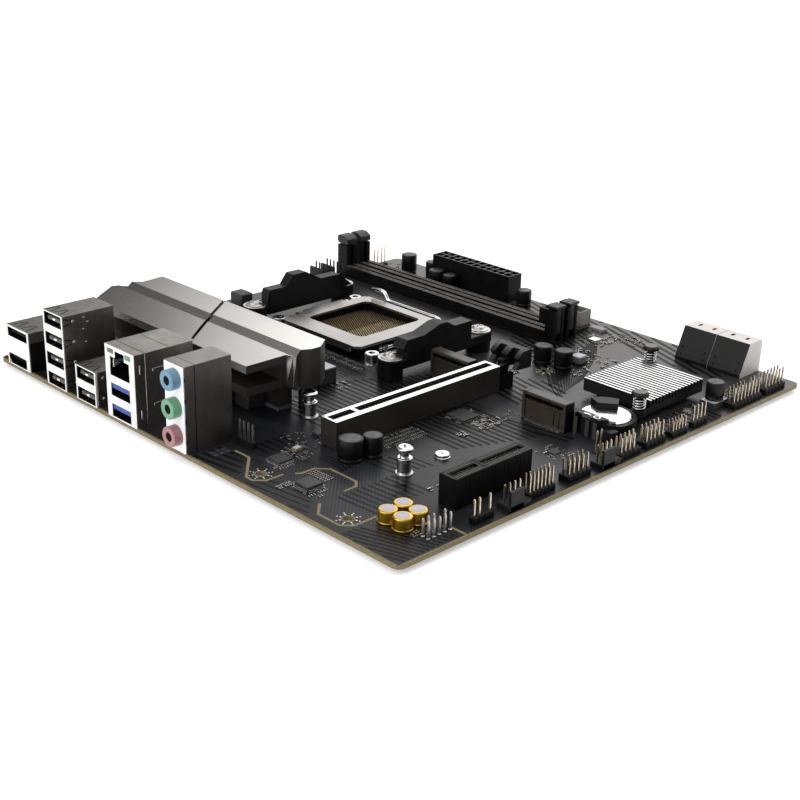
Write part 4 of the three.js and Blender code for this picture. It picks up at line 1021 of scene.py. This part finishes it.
def shell_marks(g, y, zc, x=0.3, hole=0, bright=1, n=-1):
    """A pressed spring finger on a shell's side face: two slits in near-black, a painted shade, and a raised tip in the
    near-white front finish, a painted highlight.
    """
    bar_y(g, x, zc + 1.5, x + 4.2, zc + 0.4, 0.42, y - 0.05, y + 0.02, hole)
    bar_y(g, x, zc - 1.5, x + 4.2, zc - 0.4, 0.42, y - 0.05, y + 0.02, hole)
    g.box(x + 3.6, x + 4.7, y - 0.16, y + 0.02, zc - 0.5, zc + 0.5, bright, 0.08)


# the front plates take the near-white nickel copy: painted light on the faces turned to the left lamp
g = G()
openings(g, 190.2, 204.6, 0.0, 31.6, [(191.0, 203.6, 0.4, 5.55), (191.0, 203.6, 9.0, 14.15), (191.0, 203.6, 17.5, 22.65), (191.0, 203.6, 26.0, 31.15)])
openings(g, 168.2, 182.4, 0.0, 14.6, [(169.0, 181.6, 0.4, 5.55), (169.0, 181.6, 9.0, 14.15)])
openings(g, 140.7, 160.0, 0.0, 29.4, [(144.4, 157.0, 0.6, 5.8), (144.4, 157.0, 9.2, 14.4), (144.1, 157.0, 17.5, 25.0), (147.2, 153.4, 25.0, 27.8)])
openings(g, 218.2, 235.8, 0.0, 17.2, [(220.8, 235.1, 0.4, 4.8), (219.3, 234.6, 12.4, 16.4)])
for z in (0.4, 9.0, 17.5, 26.0):
    usb_tongue(g, 191.0, 203.6, z, 2, 3)
for z in (0.4, 9.0):
    usb_tongue(g, 169.0, 181.6, z, 2, 3)
for z in (3.6, 12.2):                                                  # contacts under the blue tongues
    for i in range(5):
        g.box(1.0, 8.4, 146.4 + 2.0 * i, 147.1 + 2.0 * i, z - 0.1, z + 0.05, 3, 0.03)
for i in range(8):                                                     # network jack contacts
    g.wire([(14.5, 147.0 + 1.02 * i, 25.6), (6.0, 147.0 + 1.02 * i, 24.8), (11.0, 147.0 + 1.02 * i, 20.5)], 0.2, 6, 3)
g.prism([(0.6, 23.9), (6.5, 23.0), (6.5, 22.6), (0.6, 20.6)], 155.6, 156.3, "y", 0)
g.box(1.0, 9.0, 221.6, 233.2, 14.2, 15.0, 2, 0.1)
g.box(1.0, 9.0, 222.9, 233.0, 2.2, 3.0, 2, 0.1)
for k in range(9):
    g.box(1.4, 8.0, 222.4 + 1.15 * k, 222.9 + 1.15 * k, 14.95, 15.1, 3, 0.02)
    g.box(1.4, 8.0, 223.4 + 1.0 * k, 223.8 + 1.0 * k, 2.95, 3.1, 3, 0.02)
piece("port_fronts", g, ["front", "black", "tongue", "contact"])

g = G()
for zc in (28.9, 20.3, 11.9, 3.0):
    shell_marks(g, 190.2, zc)
# small bright marks and an edge strip on the shell sides in the near-white front finish: painted highlights
for x, z in ((9.5, 29.6), (9.1, 24.7), (10.0, 19.2), (11.2, 27.4)):
    g.box(x - 0.45, x + 0.45, 190.08, 190.22, z - 0.22, z + 0.22, 1, 0.05)
for z in (11.9, 3.3):
    g.box(2.6, 3.5, 168.04, 168.22, z - 0.5, z + 0.5, 1, 0.08)
g.box(0.1, 0.8, 168.06, 168.24, 0.3, 14.3, 1, 0.04)
for a, b in ((21.5, 25.0), (3.6, 7.1)):                                # slots and seam of the network block: near-black lines, in the slots a painted shade, each with a strip of the near-white front finish beside it as a painted highlight
    g.box(1.9, 2.6, 140.58, 140.74, a, b, 1, 0.06)
    g.box(2.6, 2.9, 140.6, 140.74, a - 0.2, b + 0.2, 0, 0.05)
g.box(4.8, 5.0, 140.62, 140.74, 0.2, 29.2, 0, 0.03)
g.box(4.55, 4.75, 140.62, 140.74, 0.2, 29.2, 1, 0.03)
# bright lines in the near-white front finish on the network block side: painted highlights
for z in (22.4, 8.4):
    g.box(8.0, 13.2, 140.6, 140.74, z, z + 0.22, 1, 0.03)
    g.box(7.8, 8.05, 140.6, 140.74, z - 0.9, z + 0.22, 1, 0.03)
for pa in ([(0.5, 199.1), (6.2, 201.4)], [(1.1, 193.5), (6.2, 195.6)], [(0.6, 203.2), (6.4, 202.4)], [(1.2, 197.6), (6.2, 196.8)]):
    g.strip(pa, 0.42, 31.55, 31.66, 0)
for pa in ([(0.6, 171.0), (5.4, 172.9)], [(0.6, 176.0), (5.4, 174.2)], [(0.6, 177.4), (5.4, 179.2)], [(0.6, 181.6), (5.4, 180.4)]):
    g.strip(pa, 0.4, 14.55, 14.66, 0)
for pa in ([(1.0, 221.6), (7.4, 223.4)], [(1.0, 226.2), (7.4, 224.8)], [(1.0, 228.4), (7.4, 230.2)], [(1.0, 233.2), (7.4, 231.6)]):
    g.strip(pa, 0.42, 17.15, 17.26, 0)
g.strip([(4.6, 140.9), (4.6, 159.8)], 0.16, 29.35, 29.46, 0)
g.strip([(15.4, 140.9), (15.4, 159.8)], 0.12, 29.35, 29.46, 0)
g.box(0.2, 21.8, 218.02, 218.22, 0.1, 12.6, 2, 0.06)                   # black body under the metal hood
g.box(12.2, 21.8, 218.0, 218.22, 12.9, 16.9, 1, 0.06)
piece("shell_marks", g, ["dark_hole", "front", "black"])

g = G()
g.prism([(143.0, 26.3), (146.6, 26.3), (146.6, 28.2), (143.0, 28.2)], -0.45, 0.2, "x", 1)
g.prism([(154.4, 26.4), (158.2, 26.4), (158.2, 28.1), (154.4, 28.1)], -0.45, 0.2, "x", 0)
for z in (3.5, 12.1):
    g.box(0.1, 0.8, 145.0, 156.8, z, z + 2.0, 2, 0.1)
piece("network_lamps", g, ["lens_red", "lens_green", "blue"])

# audio front plate in near-white: painted light on the face turned to the left lamp
g = G()
g.box(-0.3, 0.05, 109.9, 121.3, 0.2, 33.6, 0, 0.08)
g.strip([(4.6, 109.9), (4.6, 121.3)], 0.3, 33.6, 33.79, 1)
# near-black discs 3.5 mm inside the jack openings: painted shade in the holes
for z in (28.3, 17.3, 6.5):
    g.lathe([(0, -3.7), (1.8, -3.7), (1.8, -3.5), (0, -3.5)], 115.0, z, 24, 3, "x")
for z in (4.0, 12.0, 20.0, 28.0):
    g.box(0.0, 0.5, 109.55, 109.75, z, z + 1.6, 1, 0.05)
piece("audio_front", g, ["white_front", "dark_hole", "dark_grey", "dark_hole"])

# ---------------------------------------------------------------- memory slots
for k, cx in enumerate((194.9, 204.25), 1):
    g = G()
    for s in (-1, 1):
        for a in (1.1, 2.95):
            x = sorted((cx + s * (a + 0.05), cx + s * (a + 0.27)))
            g.box(x[0], x[1], 103.4, 235.4, 5.7, 6.05, 0, 0.04)
        n = 0
        y = 104.0
        while y < 235.0:
            x = sorted((cx + s * 1.3, cx + s * 3.1))
            g.box(x[0], x[1], y, y + 0.24, 5.7, 5.98, 0, 0.03)
            y += 0.85
        n = 144
        for i in range(n):
            y = 105.0 + i * 0.9
            if abs(y - 166.8) > 1.6:
                x = sorted((cx + s * 0.72, cx + s * 1.02))
                g.box(x[0], x[1], y, y + 0.38, 3.2, 5.4, 1, 0.03)
    piece(f"memory_rails_{k}", g, ["rail", "gold_pin"])
    g = G()
    g.box(cx - 3.3, cx + 3.3, 97.95, 98.6, 0.2, 1.4, 0, 0.08)
    piece(f"memory_end_{k}", g, ["black"])


# -------------------------------------------------------------- expansion slots
g = G()
for s, y in ((1, 16.2), (-1, 21.6)):
    for z0, yy in ((11.2, y), ):
        g.box(41.2, 79.2, yy - 1.1, yy - 0.9, 11.15, 11.45, 0, 0.04)
        g.box(41.2, 79.2, yy + 0.9, yy + 1.1, 11.15, 11.45, 0, 0.04)
        x = 42.0
        while x < 78.6:
            if not 54.6 < x < 57.2:
                g.box(x, x + 0.42, yy - 0.95, yy + 0.95, 11.15, 11.4, 0, 0.03)
            x += 1.0
g.box(55.0, 55.3, 15.0, 22.8, 11.15, 11.45, 0, 0.06)
g.box(56.6, 56.9, 15.0, 22.8, 11.15, 11.45, 0, 0.06)
g.box(40.95, 41.25, 15.0, 22.8, 11.15, 11.45, 0, 0.06)
g.box(79.1, 79.4, 15.0, 22.8, 11.15, 11.45, 0, 0.06)
for i in range(1, 6):                                                  # seams on the side
    x = 40.9 + 6.45 * i
    g.box(x - 0.12, x + 0.12, 14.72, 14.82, 0.6, 10.6, 1, 0.03)
    g.box(x - 1.9, x - 1.7, 14.74, 14.82, 7.0, 10.6, 1, 0.03)
for i in range(36):
    x = 43.2 + 0.96 * i
    if not 54.4 < x < 57.4:
        for yy in (18.0, 19.6):
            g.box(x, x + 0.4, yy - 0.08, yy + 0.22, 6.0, 10.6, 2, 0.03)
piece("x4_slot_tops", g, ["rail_dim", "dark_hole", "gold_pin"])
g = G()
for i in range(82):
    x = 45.4 + 1.0 * i
    if not 54.6 < x < 58.2:
        for yy in (80.62, 82.2):
            g.box(x, x + 0.42, yy, yy + 0.28, 5.6, 10.2, 0, 0.03)
# near-black strips along the slot mouth: painted shade inside the slot
for a in ((44.0, 55.4), (57.2, 130.4)):
    g.box(a[0], a[1], 83.28, 83.42, 9.9, 11.27, 2, 0.02)
    g.box(a[0], a[1], 79.7, 79.78, 9.9, 11.2, 2, 0.02)
piece("x16_contacts", g, ["gold_pin", "dark_hole", "dark_hole"])

# ------------------------------------------------------------------ M.2 sockets
for k, (x, y) in enumerate(((118.5, 31.8), (124.0, 87.2)), 1):
    g = G()
    for i in range(30):
        yy = y + 1.8 + 0.6 * i
        g.box(x - 0.7, x + 0.05, yy, yy + 0.26, 0.0, 0.25, 1, 0.03)
        g.box(x + 0.6, x + 4.0, yy, yy + 0.24, 8.55, 8.75, 2, 0.02)
    g.box(x - 0.06, x + 0.2, y + 0.3, y + 21.2, 8.0, 8.5, 0, 0.05)
    g.box(x - 0.06, x + 0.2, y + 0.3, y + 21.2, 10.5, 11.4, 0, 0.08)
    g.box(x - 0.05, x + 0.2, y + 0.3, y + 21.2, 0.2, 1.1, 0, 0.05)
    g.box(x - 0.05, x + 0.3, y + 3.0, y + 3.6, 1.4, 7.6, 0, 0.1)
    g.box(x - 0.05, x + 0.3, y + 5.6, y + 6.2, 1.4, 7.6, 0, 0.1)
    g.box(x + 0.4, x + 5.2, y + 0.4, y + 21.1, 11.42, 11.6, 3, 0.08)
    for yy in (y + 0.2, y + 19.9):
        g.box(x + 0.2, x + 5.3, yy, yy + 1.4, 11.45, 11.75, 0, 0.1)
    piece(f"card_socket_trim_{k}", g, ["m2_lip", "tin", "gold_pin", "m2_top"])

# ------------------------------------------------------------------- CPU socket
g, h = G(), G()
y = 145.3
j = 0
while y < 183.2:
    x = 118.2
    while x < 156.4:
        (g if y < 165.0 else h).pin(x + (0.6 if j % 2 else 0), y, 3.15, 3.7, 0.46, 0)
        x += 1.2
    y += 1.04
    j += 1
piece("socket_contacts_front", g, ["contact"])
piece("socket_contacts_rear", h, ["contact_dim"])
g = G()
g.box(117.5, 156.9, 144.5, 183.5, 3.1, 3.24, 0, 0.02)
for a in ((117.4, 118.3, 150, 178), (156.1, 157.0, 150, 178), (126, 148, 144.4, 145.2), (126, 148, 182.8, 183.6)):
    g.box(*a, 3.0, 6.4, 1, 0.12)
for sx in (1, -1):
    for sy in (1, -1):
        cx, cy = 137.2 + sx * 17.6, 164 + sy * 17.4
        g.prism([(cx, cy), (cx + sx * 2.0, cy), (cx + sx * 2.0, cy + sy * 2.0), (cx, cy + sy * 2.0)], 3.0, 6.3, "z", 1)
piece("socket_field", g, ["dark_hole", "black"])
g = G()
# near-black disc and cross in each socket screw head: painted shade in its recess and slots
for cx, cy in ((112, 131.7), (158, 131.7), (112, 193.6), (159, 193.6)):
    g.ring(cx, cy, 1.5, 3.0, 5.9, 6.5, 28, 0, "z", 0.2)
    g.lathe([(0, 5.6), (1.55, 5.6), (1.55, 6.0), (0, 6.0)], cx, cy, 20, 1)
    for a in (0, 60, 120):
        g.box(cx - 1.45, cx + 1.45, cy - 0.2, cy + 0.2, 5.95, 6.2, 1, 0.05, (a, cx, cy))
piece("socket_screw_heads", g, ["steel", "dark_hole"])

def bracket(name, bar, y_lo, y_hi, webs, arm, cy, node):
    g = G()
    g.prism(bar, y_lo, y_hi, "y", 0)
    for w in webs:
        g.prism(w, y_lo, y_lo + 0.7, "y", 0)
    g.box(106.5, 166.0, arm[0], arm[1], 4.6, 8.8, 0, 0.2)
    for cx in (109.2, 163.2):
        g.ring(cx, cy, 2.25, 5.4, 0.02, 9.0, 32, 0, "z", 0.25)
    piece(name, g, ["black_sheen"], smooth=24, replaces=(node,))


bracket("cooler_bracket_near_look", [(113.7, 4.8), (113.7, 11.5), (111.2, 13.4), (113.4, 17.1), (123.2, 17.1), (132.4, 19.95), (136.9, 19.95), (141.2, 17.5), (142.4, 17.2), (152.4, 17.2), (152.4, 4.8)],
        112.0, 118.8, (), (112.2, 122.6), 117.6, "cooler_bracket_near")
bracket("cooler_bracket_far_look", [(113.7, 4.8), (113.7, 14.2), (114.5, 16.3), (124.5, 16.3), (128.3, 21.1), (135.8, 21.1), (145.3, 16.1), (157.2, 15.9), (158.7, 14.6), (158.7, 4.8)],
        202.6, 208.0, ([(111.3, 6.9), (114.2, 16.0), (114.2, 6.9)], [(158.0, 15.2), (165.2, 9.1), (165.2, 8.2), (158.0, 8.2)]), (203.4, 212.6), 207.6, "cooler_bracket_far")
g = G()
# flat near-black crosses on the screw heads: painted shade in their slots
for cx, cy, z, r in ((48.6, 47.2, 10.5, 1.5), (57.2, 108.2, 10.5, 1.5)):
    for a in (45, 135):
        g.box(cx - r, cx + r, cy - 0.28, cy + 0.28, z - 0.3, z + 0.03, 0, 0.06, (a, cx, cy))
for cx, cy in ((109.2, 117.6), (163.2, 117.6), (109.2, 207.6), (163.2, 207.6)):
    for a in (20, 110):
        g.box(cx - 1.7, cx + 1.7, cy - 0.26, cy + 0.26, 10.95, 11.22, 0, 0.06, (a, cx, cy))
piece("screw_recesses", g, ["dark_hole"])
g = G()
for cx, cy in ((109.2, 117.6), (163.2, 117.6), (109.2, 207.6), (163.2, 207.6)):
    g.ring(cx, cy, 4.0, 5.3, 8.9, 9.35, 32, 0, "z", 0.15)
for cx, cy in ((48.6, 47.2), (57.2, 108.2)):
    g.ring(cx, cy, 2.4, 3.35, -0.02, 0.5, 28, 0, "z", 0.12)
piece("washers", g, ["bolt"])

# ------------------------------------------------------- power plugs and drives
g = G()
for i in range(2):
    for j in range(12):
        g.pin(222.7 + 0.6 + 4.2 * (i + 0.5), 152.8 + 0.6 + 4.2 * (j + 0.5), 2.4, 9.6, 1.1, 0)
for i in range(4):
    for j in range(2):
        g.pin(73.5 + 0.6 + 4.2 * (i + 0.5), 232.6 + 0.6 + 4.2 * (j + 0.5), 2.4, 9.6, 1.1, 0)
piece("power_pins", g, ["gold_pin"])
g = G()
# lighter glossy strips on the plug rims: painted highlight on their top edges
for a in ((222.75, 223.25, 152.9, 204.3), (231.8, 232.3, 152.9, 204.3), (223.2, 231.9, 152.85, 153.35), (223.2, 231.9, 203.9, 204.38),
          (227.2, 227.75, 153.2, 204.0)):
    g.box(*a, 13.1, 13.35, 0, 0.05)
for j in range(1, 12):
    y = 152.8 + 0.6 + 4.2 * j
    g.box(223.2, 231.9, y - 0.3, y + 0.3, 13.05, 13.3, 0, 0.05)
for a in ((73.55, 74.05, 232.7, 242.1), (90.95, 91.45, 232.7, 242.1), (74, 91, 232.65, 233.15), (74, 91, 241.7, 242.15)):
    g.box(*a, 13.1, 13.35, 0, 0.05)
piece("plug_rims", g, ["rail_dim"])
g = G()
# near-black marks on the drive-port tops and sloped faces: painted shade in their openings
for y in (20.0, 36.6):
    for dy in (4.0, 11.2):
        g.box(230.9, 233.1, y + dy, y + dy + 1.3, 14.12, 14.26, 0, 0.04)
        g.box(230.2, 231.2, y + dy + 0.3, y + dy + 1.0, 14.12, 14.25, 0, 0.04)
    for dy, z in ((2.2, 5.4), (13.6, 5.4), (2.2, 2.4), (13.6, 2.4)):
        x = 221.0 + (z - 1.4) * 5.5 / 12.8
        g.box(x - 0.12, x + 0.3, y + dy, y + dy + 0.5, z, z + 0.7, 0, 0.05)
# near-black sheet in the gap between the two drive-port blocks: painted shade
g.prism([(221.6, 0.4), (236.0, 0.4), (236.0, 13.9), (226.9, 13.9), (221.6, 1.6)], 36.3, 36.6, "y", 0)
piece("drive_port_marks", g, ["dark_hole", "black"])

# ------------------------------------------------------------ battery
g = G()
g.wire([(125.0, 29.4, 7.4), (125.1, 28.0, 8.15), (125.3, 26.6, 8.3), (125.5, 25.2, 8.1), (125.6, 24.4, 7.2)], 0.3, 8, 0)
g.ring(125.6, 22.2, 0.9, 1.5, 7.9, 8.15, 20, 0, "z", 0.08)
g.box(127.0, 131.5, 24.0, 27.0, 5.62, 5.8, 0, 0.06)
piece("battery_spring", g, ["steel"])
g = G()
for i in range(11):
    a = math.radians(172 + 6.2 * i)
    b = math.radians(172 + 6.2 * (i + 1))
    top = 7.9 - 2.0 * (i / 10) ** 1.4
    g.prism([(135.5 + r * math.cos(t), 25.5 + r * math.sin(t)) for r, t in ((10.5, a), (13.0, a), (13.0, b), (10.5, b))], 0.05, top, "z", 0)
g.box(122.6, 126.8, 12.6, 18.2, 0.05, 5.2, 0, 0.3)
for yy in (19.4, 23.0, 28.6):
    g.box(121.9, 122.1, yy, yy + 1.8, 0.4, 7.2, 1, 0.08)
g.box(123.0, 124.6, 19.0, 21.4, 7.95, 8.3, 0, 0.1)
g.box(123.0, 124.6, 30.4, 32.8, 7.95, 8.3, 0, 0.1)
piece("battery_side_wall", g, ["black_sheen", "dark_grey"])
g = G()
g.ring(135.5, 25.5, 7.6, 7.8, 5.58, 5.63, 48, 0)
piece("cell_edge_line", g, ["coin"])

# --------------------------------------------------------------- under the board
g = G()
r4 = random.Random(12)


def joints(x0, y0, nx, ny, p=2.54, r=0.75, h=0.9, q=None):
    for i in range(nx):
        for j in range(ny):
            g.lathe([(0, -1.6 - h), (r * 0.35, -1.6 - h), (r * 0.45, -1.6 - h * 0.5), (r, -1.6 - 0.08), (r, -1.57), (0, -1.57)][::-1], x0 + p * i, y0 + (q or p) * j, 10, 0)


joints(20.0, 6.95, 5, 2)
joints(38.8, 4.6, 4, 1)
joints(54.7, 5.5, 4, 1)
joints(66.0, 4.0, 7, 2, 2.0, 0.6)
joints(87.2, 4.1, 5, 2)
joints(118.2, 3.4, 5, 2)
joints(132.4, 3.7, 5, 2)
joints(161.6, 2.7, 4, 2)
joints(189.8, 3.0, 8, 2)
joints(213.4, 3.2, 6, 2)
joints(225.4, 155.5, 2, 12, 4.2, 1.15, 1.4)
joints(76.2, 235.3, 4, 2, 4.2, 1.15, 1.4)
for cx in (194.9, 204.25):
    for i in range(56):
        for j in (-1.9, 1.9):
            g.lathe([(0, -1.9), (0.28, -1.9), (0.5, -1.66), (0.5, -1.57), (0, -1.57)][::-1], cx + j, 106 + 2.3 * i, 8, 0)
for i in range(42):
    for j in (-2.2, 2.2):
        g.lathe([(0, -1.9), (0.28, -1.9), (0.48, -1.66), (0.48, -1.57), (0, -1.57)][::-1], 46 + 2.0 * i, 81.1 + j, 8, 0)
for i in range(18):
    for j in (-2.0, 2.0):
        g.lathe([(0, -1.9), (0.28, -1.9), (0.48, -1.66), (0.48, -1.57), (0, -1.57)][::-1], 43.2 + 2.0 * i, 18.9 + j, 8, 0)
for x0, x1, y0, y1 in ((3, 22, 192, 203), (3, 12, 170, 181), (4, 24, 143, 158), (3, 18, 111, 120), (3, 20, 220, 234)):
    for _ in range(16):
        x, y = r4.uniform(x0, x1), r4.uniform(y0, y1)
        g.lathe([(0, -2.3), (0.3, -2.3), (0.75, -1.66), (0.75, -1.57), (0, -1.57)][::-1], x, y, 10, 0)
piece("solder_joints", g, ["tin"])
g = G()
for x0, x1, y0, y1, n in ((112, 160, 145, 182, 0), (72, 100, 140, 210, 60), (170, 190, 120, 220, 50), (60, 110, 90, 104, 40), (150, 190, 20, 52, 40), (20, 60, 40, 60, 24)):
    for _ in range(n):
        x, y = r4.uniform(x0, x1), r4.uniform(y0, y1)
        w, l = r4.choice(((0.5, 1.0), (1.0, 0.5)))
        g.box(x - l / 2, x + l / 2, y - w / 2, y + w / 2, -1.98, -1.58, r4.choice((0, 1, 1)), 0.05)
piece("underside_parts", g, ["tin", "cer_brown"])
g = G()
for x0, y0, deg, n in ((60, 100, 90, 14), (172, 120, 2, 30), (150, 56, 45, 12)):
    for i in range(n):
        o = 2.2 * i
        if deg == 90:
            g.strip([(x0 + o, y0 - 60), (x0 + o, y0 + 10), (x0 + o + 5, y0 + 16)], 0.5, -1.66, -1.57, 0)
        elif deg == 2:
            g.strip([(x0, y0 + o), (x0 + 14, y0 + o), (x0 + 19, y0 + o + 4)], 0.5, -1.66, -1.57, 0)
        else:
            g.strip([(x0 + o, y0), (x0 + o + 20, y0 + 24), (x0 + o + 20, y0 + 60)], 0.5, -1.66, -1.57, 0)
piece("underside_tracks", g, ["trace"])
